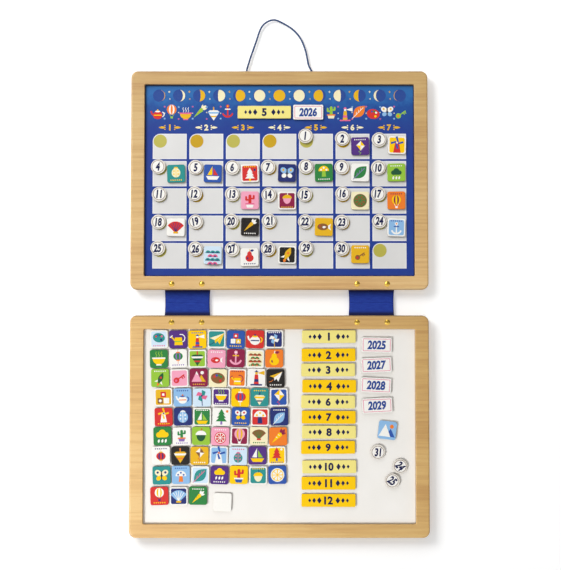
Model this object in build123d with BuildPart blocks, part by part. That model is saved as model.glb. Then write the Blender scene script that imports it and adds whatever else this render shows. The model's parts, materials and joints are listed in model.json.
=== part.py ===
# Magnetic calendar board: two framed steel boards on fabric straps, hung by a cord, with loose magnets.
# Frame: +X to the viewer's right, +Z up, the front faces -Y. The origin is where a hook carries the cord.
# All sizes are in millimetres.

import os
from math import cos, pi, radians, sin, tan

from build123d import *

os.makedirs("parts", exist_ok=True)

# Magnets: a wooden tile, plate or disc glued on a sheet of magnetic rubber
tile_size = 24.4
tile_corner = 2.6
disc_diameter = 20.0
month_plate_width = 73.0
month_plate_height = 17.3
year_plate_width = 41.0
year_plate_height = 20.3
plate_corner = 1.6
tile_thickness = 2.2
magnet_thickness = 0.8
magnet_inset = 0.4
tile_edge_round = 0.4

# Calendar grid on the upper board
weekdays = 7
weeks = 5
first_weekday = 4
month_days = 30
cell_gap = 3.7
grid_side_margin = 11.0
grid_bottom_margin = 13.2
header_height = 67.3
header_plate_drop = 38.0
header_plate_gap = 3.2
header_pair_shift = 1.4
disc_overhang = 1.5
disc_to_tile = 2.3
tile_to_cell_edge = 1.2
disc_drop = 9.0
tile_drop = 17.2
event_days = {*range(2, 11), 13, 14, *range(16, 19), 20, 22, 24, *range(26, 29), 30}
day_nudges = {1: (0.3, 5.5), 2: (0.6, 2.2)}
tile_nudges = {27: (-0.4, -3.6), 3: (0.8, 1.0)}

# Storage rows on the lower board
tile_columns = 7
full_rows = 8
last_row_tiles = 3
tile_column_gap = 1.7
tile_row_gap = 1.8
storage_top_margin = 1.7
storage_left_margin = 8.7
storage_bottom_margin = 17.5
storage_right_margin = 8.0
last_row_gap = 1.8
row_shifts = (0.0, 0.0, 1.9, 6.3, 6.8, 5.3, 3.4, 4.4, 1.5)
blank_tile_gap = 6.9
blank_tile_drop = 8.0
month_column_gap = 18.2
month_row_gaps = (7.6, 2.9, 4.8, 3.8, 3.4, 2.8, 3.3, 8.7, 4.8, 5.8)
year_column_gap = 8.0
year_top_margin = 11.5
year_row_gap = 7.0
year_turns = (-1.0, 2.4, -3.0, 2.6)
loose_tile_gap = 11.0
loose_tile_shift = 14.4
loose_tile_turn = -7.0
loose_disc_drops = (29.3, 48.5, 68.2)
loose_disc_shifts = (1.4, 31.3, 21.2)

# How unevenly the magnets were put down by hand
hand_shift = 0.8
hand_turn = 1.6
plate_turn = 0.4
hand_rhythm = 2.4
hand_phase = 0.7

# Frames, panels and backing
rivet_land = 14.5
panel_lap = 4.0
corner_radius = 9.5
front_edge_round = 2.4
back_edge_round = 1.2
window_corner = 2.0
window_edge_round = 0.8
recess_spare = 2.0
panel_thickness = 0.5
backing_thickness = 8.5
rebate_clearance = 0.25

# Staples that hold the backing, sunk across its seam with the frame
seam_staple_crown = 9.0
staple_wire_width = 1.2
staple_wire_thickness = 0.6
staple_sink = 0.2
staple_cover = 2.5
seam_staple_x = 65.0
seam_staple_z = 85.0

# Straps and their rivets
strap_width = 62.4
strap_thickness = 1.2
strap_from_side = 77.0
strap_waist = 0.8
strap_end_clearance = 0.3
strap_tail = 13.9
rivet_inset = 10.7
upper_rivet_edge = 8.0
lower_rivet_edge = 9.4
rivet_head_diameter = 7.8
rivet_head_height = 1.6
rivet_closed_clearance = 0.6
rivet_shank_diameter = 3.2
rivet_clearance = 0.1
clench_diameter = 5.2
clench_height = 1.0
washer_diameter = 8.6
washer_thickness = 0.8

# Hanging cord: points of its route as (across, up from the top edge of the frame), ends first and last
loop_drop = 71.3
cord_diameter = 2.4
cord_seat_clearance = 0.1
cord_points = [
    (-46.4, -8.5),
    (-46.4, 0.0),
    (-42.4, 15.0),
    (-36.8, 31.5),
    (-31.5, 46.0),
    (-27.4, 60.5),
    (-20.8, 70.6),
    (-7.6, 76.3),
    (4.6, 70.4),
    (18.0, 62.6),
    (29.0, 50.5),
    (36.0, 34.0),
    (38.9, 19.0),
    (40.6, 9.5),
    (46.6, 1.0),
    (46.6, -8.5),
]
arc_share = 0.45
knot_diameter = 5.6
knot_height = 4.8
cord_staple_drop = 5.0
cord_staple_gap = 0.5
cord_staple_leg = 6.0

# Sizes that follow from the ones above
magnet_height = tile_thickness + magnet_thickness
panel_recess = magnet_height + recess_spare
board_thickness = panel_recess + panel_thickness + backing_thickness
rail_width = rivet_land + panel_lap

cell_width = disc_diameter - disc_overhang + disc_to_tile + tile_size + tile_to_cell_edge
cell_pitch_x = cell_width + cell_gap
grid_width = weekdays * cell_pitch_x - cell_gap

tile_column_pitch = tile_size + tile_column_gap
tile_row_pitch = tile_size + tile_row_gap
tile_block_width = tile_columns * tile_column_pitch - tile_column_gap + max(row_shifts)
tile_block_height = full_rows * tile_row_pitch + last_row_gap + tile_size + blank_tile_drop
month_stack_height = (len(month_row_gaps) + 1) * month_plate_height + sum(month_row_gaps)

year_stack_height = len(year_turns) * (year_plate_height + year_row_gap) - year_row_gap
loose_magnets_reach = max(
    year_plate_width / 2,
    loose_tile_shift + tile_size / 2,
    max(loose_disc_shifts) + disc_diameter / 2,
)
loose_magnets_drop = (
    year_top_margin
    + year_stack_height
    + loose_tile_gap
    + tile_size / 2
    + max(loose_disc_drops)
    + disc_diameter / 2
)

storage_columns_width = (
    tile_block_width
    + month_column_gap
    + month_plate_width
    + year_column_gap
    + year_plate_width / 2
    + loose_magnets_reach
)
window_width = max(
    grid_width + 2 * grid_side_margin,
    storage_left_margin + storage_columns_width + storage_right_margin,
)
storage_columns_height = max(
    storage_top_margin + tile_block_height,
    storage_top_margin + month_stack_height,
    loose_magnets_drop,
)
window_height = storage_columns_height + storage_bottom_margin
cell_height = (
    window_height - header_height - grid_bottom_margin - (weeks - 1) * cell_gap
) / weeks
cell_pitch_z = cell_height + cell_gap

board_width = window_width + 2 * rail_width
board_height = window_height + 2 * rail_width
rebate_width = window_width + 2 * panel_lap
rebate_height = window_height + 2 * panel_lap

hinge_offset = strap_end_clearance + strap_thickness / 2
closed_gap = 2 * rivet_head_height + rivet_closed_clearance
strap_link = 2 * (board_thickness + strap_thickness / 2) + closed_gap
board_gap = strap_link + 2 * hinge_offset
strap_centre_x = board_width / 2 - strap_from_side
rivet_spacing = strap_width - 2 * rivet_inset
rivet_hole = rivet_shank_diameter + 2 * rivet_clearance

# Heights of the boards and depths of their faces
back_y = -(cord_diameter / 2 + cord_seat_clearance)
front_y = back_y - board_thickness
panel_face_y = front_y + panel_recess
upper_top = -loop_drop
upper_bottom = upper_top - board_height
lower_top = upper_bottom - board_gap
hinge_y = back_y + strap_thickness / 2
upper_hinge_z = upper_bottom - hinge_offset
lower_hinge_z = lower_top + hinge_offset


def facing_front(y, z=0.0, x=0.0, turn=0.0):
    """Plane whose normal points at the viewer, turned anticlockwise as the viewer sees it."""
    along = (cos(radians(turn)), 0, sin(radians(turn)))
    return Plane(origin=(x, y, z), x_dir=along, z_dir=(0, -1, 0))


def save(part, name):
    part.label = name
    export_step(part, f"parts/{name}.step")


# Seam staples: each place gives the seam's point and whether the crown runs across or up
def seam_staple_places(top_z):
    middle = top_z - board_height / 2
    places = []
    for side in (-1, 1):
        for seam_z in (middle + rebate_height / 2, middle - rebate_height / 2):
            places.append((side * seam_staple_x, seam_z, "up"))
        for height in (-seam_staple_z, seam_staple_z):
            places.append((side * rebate_width / 2, middle + height, "across"))
    return places


def seam_staple_boxes(top_z):
    """Centre and size of the crown and the two legs of every seam staple."""
    crown_y = back_y - staple_sink - staple_wire_thickness / 2
    leg_length = backing_thickness - staple_cover
    leg_y = back_y - staple_sink - leg_length / 2
    leg_reach = (seam_staple_crown - staple_wire_thickness) / 2
    boxes = []
    for x, z, run in seam_staple_places(top_z):
        dx, dz = (leg_reach, 0) if run == "across" else (0, leg_reach)
        across = (seam_staple_crown, staple_wire_thickness, staple_wire_width)
        up = (staple_wire_width, staple_wire_thickness, seam_staple_crown)
        boxes.append(((x, crown_y, z), across if run == "across" else up))
        leg_across = (staple_wire_thickness, leg_length, staple_wire_width)
        leg_up = (staple_wire_width, leg_length, staple_wire_thickness)
        for side in (-1, 1):
            leg_centre = (x + side * dx, leg_y, z + side * dz)
            boxes.append((leg_centre, leg_across if run == "across" else leg_up))
    return boxes


def seam_staple_slots(top_z):
    """The same boxes, carried out to the back face, as the staples cut their slots."""
    slots = []
    for (x, y, z), (width, depth, height) in seam_staple_boxes(top_z):
        deepest = y - depth / 2
        slots.append(((x, (deepest + back_y) / 2, z), (width, back_y - deepest, height)))
    return slots


def cord_staple_boxes():
    """Crown and legs of the two staples over the cord's ends."""
    crown_y = cord_diameter / 2 + cord_seat_clearance + staple_wire_thickness / 2
    leg_end = back_y - cord_staple_leg
    leg_start = crown_y + staple_wire_thickness / 2
    leg_reach = cord_diameter / 2 + cord_staple_gap + staple_wire_thickness / 2
    crown_width = 2 * leg_reach + staple_wire_thickness
    z = upper_top - cord_staple_drop
    boxes = []
    for x, _ in (cord_points[0], cord_points[-1]):
        boxes.append(((x, crown_y, z), (crown_width, staple_wire_thickness, staple_wire_width)))
        for side in (-1, 1):
            centre = (x + side * leg_reach, (leg_start + leg_end) / 2, z)
            boxes.append((centre, (staple_wire_thickness, leg_start - leg_end, staple_wire_width)))
    return boxes


def rivet_places(rivet_z):
    return [
        (side * strap_centre_x + across * rivet_spacing / 2, rivet_z)
        for side in (-1, 1)
        for across in (-1, 1)
    ]


upper_rivet_z = upper_bottom + upper_rivet_edge
lower_rivet_z = lower_top - lower_rivet_edge


# Frames: one routed piece each, with eased edges, a rear rebate, rivet holes and staple slots
def make_frame(name, top_z, rivet_z, wire_boxes):
    middle = top_z - board_height / 2
    with BuildPart() as frame:
        with BuildSketch(facing_front(back_y, middle)):
            RectangleRounded(board_width, board_height, corner_radius)
            RectangleRounded(window_width, window_height, window_corner, mode=Mode.SUBTRACT)
        extrude(amount=board_thickness)
        front_face = frame.faces().sort_by(Axis.Y)[0]
        fillet(front_face.outer_wire().edges(), front_edge_round)
        front_face = frame.faces().sort_by(Axis.Y)[0]
        fillet(front_face.inner_wires()[0].edges(), window_edge_round)
        back_face = frame.faces().sort_by(Axis.Y)[-1]
        fillet(back_face.outer_wire().edges(), back_edge_round)
        with BuildSketch(facing_front(back_y, middle)):
            Rectangle(rebate_width, rebate_height)
        extrude(amount=backing_thickness + panel_thickness, mode=Mode.SUBTRACT)
        with BuildSketch(facing_front(back_y)):
            with Locations(*rivet_places(rivet_z)):
                Circle(rivet_hole / 2)
        extrude(amount=board_thickness, mode=Mode.SUBTRACT)
        for centre, size in wire_boxes:
            with Locations(centre):
                Box(*size, mode=Mode.SUBTRACT)
    save(frame.part, name)


make_frame("upper_frame", upper_top, upper_rivet_z, seam_staple_slots(upper_top) + cord_staple_boxes())
make_frame("lower_frame", lower_top, lower_rivet_z, seam_staple_slots(lower_top))


# Steel sheets that the magnets hold on to
def make_panel(name, top_z):
    with BuildPart() as panel:
        with BuildSketch(facing_front(panel_face_y + panel_thickness, top_z - board_height / 2)):
            Rectangle(rebate_width - 2 * rebate_clearance, rebate_height - 2 * rebate_clearance)
        extrude(amount=panel_thickness)
    save(panel.part, name)


make_panel("calendar_panel", upper_top)
make_panel("storage_panel", lower_top)


# Fibreboard behind each sheet, flush with the frame's back
def make_backing(name, top_z):
    with BuildPart() as backing:
        with BuildSketch(facing_front(back_y, top_z - board_height / 2)):
            Rectangle(rebate_width - 2 * rebate_clearance, rebate_height - 2 * rebate_clearance)
        extrude(amount=backing_thickness)
        for centre, size in seam_staple_slots(top_z):
            with Locations(centre):
                Box(*size, mode=Mode.SUBTRACT)
    save(backing.part, name)


make_backing("upper_backing_board", upper_top)
make_backing("lower_backing_board", lower_top)


# Bent wire staples, each one solid
def make_staples(name, boxes):
    with BuildPart() as staples:
        for centre, size in boxes:
            with Locations(centre):
                Box(*size)
    save(staples.part, name)


make_staples("upper_backing_staples", seam_staple_boxes(upper_top))
make_staples("lower_backing_staples", seam_staple_boxes(lower_top))
make_staples("cord_staples", cord_staple_boxes())


# Strap ends, flat on the backs of the rails
def make_strap_tail(name, centre_x, edge_z, direction, rivet_z):
    with BuildPart() as tail:
        with BuildSketch(facing_front(back_y + strap_thickness)):
            with Locations((centre_x, edge_z + direction * strap_tail / 2)):
                Rectangle(strap_width, strap_tail)
            with Locations(*[place for place in rivet_places(rivet_z) if place[0] * centre_x > 0]):
                Circle(rivet_hole / 2, mode=Mode.SUBTRACT)
        extrude(amount=strap_thickness)
    save(tail.part, name)


# The free stretch of each strap: rounded ends turn about the two fold lines, the sides draw in a little
def make_strap_span(name, centre_x):
    middle = (upper_hinge_z + lower_hinge_z) / 2
    half_width = strap_width / 2
    half_height = strap_link / 2 + strap_thickness / 2
    side_plane = Plane(origin=(centre_x, hinge_y, middle), x_dir=(0, 0, 1), z_dir=(1, 0, 0))
    with BuildPart() as span:
        with BuildSketch(side_plane):
            SlotCenterToCenter(strap_link, strap_thickness)
        extrude(amount=half_width, both=True)
        with BuildSketch(facing_front(hinge_y, middle, centre_x)):
            with BuildLine():
                Line((-half_width, half_height), (half_width, half_height))
                ThreePointArc(
                    (half_width, half_height), (half_width - strap_waist, 0), (half_width, -half_height)
                )
                Line((half_width, -half_height), (-half_width, -half_height))
                ThreePointArc(
                    (-half_width, -half_height), (strap_waist - half_width, 0), (-half_width, half_height)
                )
            make_face()
        extrude(amount=strap_thickness, both=True, mode=Mode.INTERSECT)
    save(span.part, name)


for side_name, side in (("left", -1), ("right", 1)):
    make_strap_tail(f"{side_name}_strap_upper_tail", side * strap_centre_x, upper_bottom, 1, upper_rivet_z)
    make_strap_span(f"{side_name}_strap_span", side * strap_centre_x)
    make_strap_tail(f"{side_name}_strap_lower_tail", side * strap_centre_x, lower_top, -1, lower_rivet_z)


# Brass rivets: domed head in front, clenched end on the washer behind
def make_rivets(name, rivet_z):
    grip = board_thickness + strap_thickness + washer_thickness
    shank = rivet_shank_diameter / 2
    with BuildPart() as rivets:
        for x, z in rivet_places(rivet_z):
            with BuildSketch(Plane(origin=(x, front_y, z), x_dir=(1, 0, 0), z_dir=(0, 0, 1))):
                with BuildLine():
                    TangentArc((0, -rivet_head_height), (rivet_head_diameter / 2, 0), tangent=(1, 0))
                    Polyline(
                        (rivet_head_diameter / 2, 0),
                        (shank, 0),
                        (shank, grip),
                        (clench_diameter / 2, grip),
                    )
                    TangentArc((0, grip + clench_height), (clench_diameter / 2, grip), tangent=(1, 0))
                    Line((0, grip + clench_height), (0, -rivet_head_height))
                make_face()
            revolve(axis=Axis((x, front_y, z), (0, 1, 0)))
    save(rivets.part, name)


def make_washers(name, rivet_z):
    with BuildPart() as washers:
        with BuildSketch(facing_front(back_y + strap_thickness + washer_thickness)):
            with Locations(*rivet_places(rivet_z)):
                Circle(washer_diameter / 2)
                Circle(rivet_hole / 2, mode=Mode.SUBTRACT)
        extrude(amount=washer_thickness)
    save(washers.part, name)


make_rivets("upper_strap_rivets", upper_rivet_z)
make_washers("upper_rivet_washers", upper_rivet_z)
make_rivets("lower_strap_rivets", lower_rivet_z)
make_washers("lower_rivet_washers", lower_rivet_z)


# Hanging cord: straight runs with arcs as large as the runs allow, knotted at both ends
def arc_radii(points):
    radii = []
    for before, here, after in zip(points, points[1:], points[2:]):
        run_in = Vector(*here) - Vector(*before)
        run_out = Vector(*after) - Vector(*here)
        turn = radians(run_in.get_angle(run_out))
        radii.append(arc_share * min(run_in.length, run_out.length) / tan(turn / 2))
    return radii


route = [(x, up + upper_top) for x, up in cord_points]
route_radii = arc_radii(route)
with BuildPart() as cord:
    with BuildLine(Plane.XZ) as cord_path:
        FilletPolyline(*route, radius=route_radii)
    cord_wire = cord_path.wires()[0]
    with BuildSketch(Plane(origin=cord_wire @ 0, z_dir=cord_wire % 0)):
        Circle(cord_diameter / 2)
    sweep(path=cord_wire)
    tube_volume = cord.part.volume
    for end_x, end_z in (route[0], route[-1]):
        with BuildSketch(Plane(origin=(end_x, 0, end_z), x_dir=(1, 0, 0), z_dir=(0, -1, 0))):
            with BuildLine():
                Polyline((0, -knot_height), (0, 0), (cord_diameter / 2, 0))
                ThreePointArc(
                    (cord_diameter / 2, 0),
                    (knot_diameter / 2, -knot_height / 2),
                    (cord_diameter / 2, -knot_height),
                )
                Line((cord_diameter / 2, -knot_height), (0, -knot_height))
            make_face()
        revolve(axis=Axis((end_x, 0, end_z), (0, 0, 1)))
    split(bisect_by=Plane(origin=(0, back_y, 0), z_dir=(0, 1, 0)), keep=Keep.TOP)
save(cord.part, "hanging_cord")

print("cord radii", [round(radius, 1) for radius in route_radii])
print("cord length", round(cord_wire.length, 1))
print("tube volume over section times length", tube_volume / (pi * cord_diameter**2 / 4 * cord_wire.length))


# Magnets: every place is (x, z, turn), and a set that shares a node keeps its solids separate
def by_hand(count, amount, strand=1):
    """A steady uneven pattern, so that no two neighbours lie quite alike. Each strand has its own."""
    return amount * sin(hand_rhythm * strand * count + hand_phase)


def make_magnets(name, places, outline, inset_outline):
    with BuildPart() as sheets:
        for x, z, turn in places:
            with BuildSketch(facing_front(panel_face_y, z, x, turn)):
                inset_outline()
            extrude(amount=magnet_thickness)
    with BuildPart() as tiles:
        for x, z, turn in places:
            with BuildSketch(facing_front(panel_face_y - magnet_thickness, z, x, turn)):
                outline()
            extrude(amount=tile_thickness)
        fronts = tiles.faces().filter_by(Axis.Y).group_by(Axis.Y)[0]
        fillet(fronts.edges(), tile_edge_round)
    save(Compound(children=[*sheets.part.solids(), *tiles.part.solids()]), name)


def make_tiles(name, places):
    sheet_size = tile_size - 2 * magnet_inset
    make_magnets(
        name,
        places,
        lambda: RectangleRounded(tile_size, tile_size, tile_corner),
        lambda: RectangleRounded(sheet_size, sheet_size, tile_corner - magnet_inset),
    )


def make_discs(name, places):
    make_magnets(
        name,
        places,
        lambda: Circle(disc_diameter / 2),
        lambda: Circle(disc_diameter / 2 - magnet_inset),
    )


def make_plate(name, place, width, height):
    sheet_width = width - 2 * magnet_inset
    sheet_height = height - 2 * magnet_inset
    make_magnets(
        name,
        [place],
        lambda: RectangleRounded(width, height, plate_corner),
        lambda: RectangleRounded(sheet_width, sheet_height, plate_corner - magnet_inset),
    )


# Magnets on the calendar
window_left = -window_width / 2
upper_window_top = upper_top - rail_width
lower_window_top = lower_top - rail_width
grid_left = -grid_width / 2
grid_top = upper_window_top - header_height


def cell_corner(day):
    week, weekday = divmod(day - 1 + first_weekday, weekdays)
    return week, grid_left + weekday * cell_pitch_x, grid_top - week * cell_pitch_z


def disc_place(day):
    _, left, top = cell_corner(day)
    nudge_x, nudge_z = day_nudges.get(day, (by_hand(day, hand_shift), by_hand(day, hand_shift, 2)))
    return left + disc_diameter / 2 - disc_overhang + nudge_x, top - disc_drop + nudge_z, 0.0


def event_place(day):
    _, left, top = cell_corner(day)
    nudge_x, nudge_z = tile_nudges.get(day, (by_hand(day, hand_shift, 3), by_hand(day, hand_shift, 5)))
    centre_x = left + cell_width - tile_to_cell_edge - tile_size / 2
    return centre_x + nudge_x, top - tile_drop + nudge_z, by_hand(day, hand_turn, 4)


for week in range(weeks):
    week_days = [day for day in range(1, month_days + 1) if cell_corner(day)[0] == week]
    make_discs(f"day_discs_week_{week + 1}", [disc_place(day) for day in week_days])
    week_events = [day for day in week_days if day in event_days]
    make_tiles(f"event_tiles_week_{week + 1}", [event_place(day) for day in week_events])

header_z = upper_window_top - header_plate_drop
header_left = header_pair_shift - (month_plate_width + header_plate_gap + year_plate_width) / 2
header_year_x = header_left + month_plate_width + header_plate_gap + year_plate_width / 2
make_plate(
    "header_month_plate",
    (header_left + month_plate_width / 2, header_z, 0.0),
    month_plate_width,
    month_plate_height,
)
make_plate("header_year_plate", (header_year_x, header_z, 0.0), year_plate_width, year_plate_height)

# Magnets kept on the storage board
first_tile_x = window_left + storage_left_margin + tile_size / 2
first_tile_z = lower_window_top - storage_top_margin - tile_size / 2


def storage_place(row, column):
    x = first_tile_x + row_shifts[row] + column * tile_column_pitch
    z = first_tile_z - row * tile_row_pitch - (last_row_gap if row == full_rows else 0)
    count = row * tile_columns + column
    return x, z + by_hand(count, hand_shift / 2), by_hand(count, hand_turn, 3)


for row in range(full_rows):
    row_places = [storage_place(row, column) for column in range(tile_columns)]
    make_tiles(f"storage_tiles_row_{row + 1}", row_places)

last_places = [storage_place(full_rows, column) for column in range(last_row_tiles)]
blank_x, blank_z, _ = storage_place(full_rows, last_row_tiles)
last_places.append((blank_x + blank_tile_gap, blank_z - blank_tile_drop, -hand_turn))
make_tiles(f"storage_tiles_row_{full_rows + 1}", last_places)

month_x = window_left + storage_left_margin + tile_block_width + month_column_gap + month_plate_width / 2
month_z = lower_window_top - storage_top_margin - month_plate_height / 2
for index, gap in enumerate((*month_row_gaps, 0.0)):
    place = (month_x + by_hand(index, hand_shift), month_z, by_hand(index, plate_turn, 3))
    make_plate(f"month_plate_{index + 1:02d}", place, month_plate_width, month_plate_height)
    month_z -= month_plate_height + gap

year_x = month_x + month_plate_width / 2 + year_column_gap + year_plate_width / 2
year_z = lower_window_top - year_top_margin - year_plate_height / 2
for index, turn in enumerate(year_turns):
    place = (year_x + by_hand(index, hand_shift), year_z, turn)
    make_plate(f"year_plate_{index + 1}", place, year_plate_width, year_plate_height)
    year_z -= year_plate_height + year_row_gap

loose_tile_z = lower_window_top - year_top_margin - year_stack_height - loose_tile_gap - tile_size / 2
make_tiles("loose_tile", [(year_x + loose_tile_shift, loose_tile_z, loose_tile_turn)])
for index, (drop, shift) in enumerate(zip(loose_disc_drops, loose_disc_shifts)):
    make_discs(f"loose_disc_{index + 1}", [(year_x + shift, loose_tile_z - drop, 0.0)])

print("board", round(board_width, 2), "x", round(board_height, 2), "x", round(board_thickness, 2))
print("gap between boards", round(board_gap, 2), "strap fold to fold", round(strap_link, 2))
print("fold lines: y", hinge_y, "z", round(upper_hinge_z, 3), round(lower_hinge_z, 3))
print("back face y", back_y, "front y", front_y, "panel face y", panel_face_y)
print("window tops z", round(upper_window_top, 3), round(lower_window_top, 3))
print("window", round(window_width, 3), "x", round(window_height, 3))
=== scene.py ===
import bmesh
import bpy
import json
import math
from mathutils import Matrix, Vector

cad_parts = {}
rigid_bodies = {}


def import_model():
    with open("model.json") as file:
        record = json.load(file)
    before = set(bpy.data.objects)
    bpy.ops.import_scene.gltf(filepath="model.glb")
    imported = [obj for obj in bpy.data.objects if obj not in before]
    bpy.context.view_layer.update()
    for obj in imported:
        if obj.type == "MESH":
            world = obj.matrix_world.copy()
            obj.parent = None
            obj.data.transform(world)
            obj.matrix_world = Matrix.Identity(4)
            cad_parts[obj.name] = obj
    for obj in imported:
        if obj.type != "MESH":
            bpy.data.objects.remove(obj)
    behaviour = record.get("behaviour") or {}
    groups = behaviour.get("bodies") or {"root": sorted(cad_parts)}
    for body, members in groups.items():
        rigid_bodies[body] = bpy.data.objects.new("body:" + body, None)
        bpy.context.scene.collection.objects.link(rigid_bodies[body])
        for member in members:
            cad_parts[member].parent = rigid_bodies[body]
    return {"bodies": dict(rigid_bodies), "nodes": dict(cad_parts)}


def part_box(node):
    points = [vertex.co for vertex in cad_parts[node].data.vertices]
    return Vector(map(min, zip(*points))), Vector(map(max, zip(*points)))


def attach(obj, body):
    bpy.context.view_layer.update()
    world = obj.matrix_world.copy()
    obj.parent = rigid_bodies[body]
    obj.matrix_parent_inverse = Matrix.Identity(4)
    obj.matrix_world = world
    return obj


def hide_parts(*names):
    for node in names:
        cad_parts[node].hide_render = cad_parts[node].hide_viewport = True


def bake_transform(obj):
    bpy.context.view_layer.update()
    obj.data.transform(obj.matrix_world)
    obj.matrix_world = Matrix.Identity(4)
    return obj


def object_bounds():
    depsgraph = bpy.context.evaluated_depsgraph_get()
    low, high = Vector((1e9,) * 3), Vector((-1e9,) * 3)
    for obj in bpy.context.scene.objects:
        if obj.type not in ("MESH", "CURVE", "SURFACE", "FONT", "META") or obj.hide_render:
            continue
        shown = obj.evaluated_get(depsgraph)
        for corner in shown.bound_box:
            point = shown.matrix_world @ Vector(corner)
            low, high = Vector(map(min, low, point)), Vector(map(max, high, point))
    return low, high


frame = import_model()
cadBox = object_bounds()
scene = bpy.context.scene
scene.view_settings.view_transform = "Standard"

mm = 0.001


# Small helpers for colours, nodes and meshes

def linear(hexCode):
    parts = [int(hexCode[i:i + 2], 16) / 255 for i in (1, 3, 5)]
    bent = [p / 12.92 if p <= 0.04045 else ((p + 0.055) / 1.055) ** 2.4 for p in parts]
    return (*bent, 1.0)


def perSize(*sizes):
    # how often a pattern of these sizes in mm repeats in a metre along each axis
    return tuple(1 / (size * mm) for size in sizes)


def addNode(tree, kind, inputs=None, stops=(), **settings):
    # an input is a value, a socket, or a node whose first output is linked; the stops are those of a ramp
    made = tree.nodes.new(kind)
    for key, value in settings.items():
        setattr(made, key, value)
    for key, value in (inputs or {}).items():
        if isinstance(value, bpy.types.Node):
            value = value.outputs[0]
        if isinstance(value, bpy.types.NodeSocket):
            tree.links.new(value, made.inputs[key])
        else:
            made.inputs[key].default_value = value
    if stops:
        for _ in stops[2:]:
            made.color_ramp.elements.new(0.5)
        for element, (place, shade) in zip(made.color_ramp.elements, stops):
            element.position = place
            element.color = linear(shade) if isinstance(shade, str) else (shade, shade, shade, 1)
    return made


def startMaterial(name):
    material = bpy.data.materials.new(name)
    material.use_nodes = True
    tree = material.node_tree
    tree.nodes.clear()
    return material, tree, addNode(tree, "ShaderNodeTexCoord").outputs["Object"]


def finishMaterial(material, look):
    tree = material.node_tree
    shader = addNode(tree, "ShaderNodeBsdfPrincipled", look)
    addNode(tree, "ShaderNodeOutputMaterial", {"Surface": shader})
    return material


def linked(name, data):
    made = bpy.data.objects.new(name, data)
    scene.collection.objects.link(made)
    return made


def meshObject(name, points, faces):
    mesh = bpy.data.meshes.new(name)
    mesh.from_pydata(points, [], faces)
    mesh.update()
    return linked(name, mesh)


def coat(mesh, *materials):
    mesh.materials.clear()
    for material in materials:
        mesh.materials.append(material)


def plainMesh(source, name):
    # the evaluated result of a curve, text or node tree as a mesh of its own
    bpy.context.view_layer.update()
    mesh = bpy.data.meshes.new_from_object(source.evaluated_get(bpy.context.evaluated_depsgraph_get()))
    mesh.name = name
    return mesh


# Materials

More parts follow.
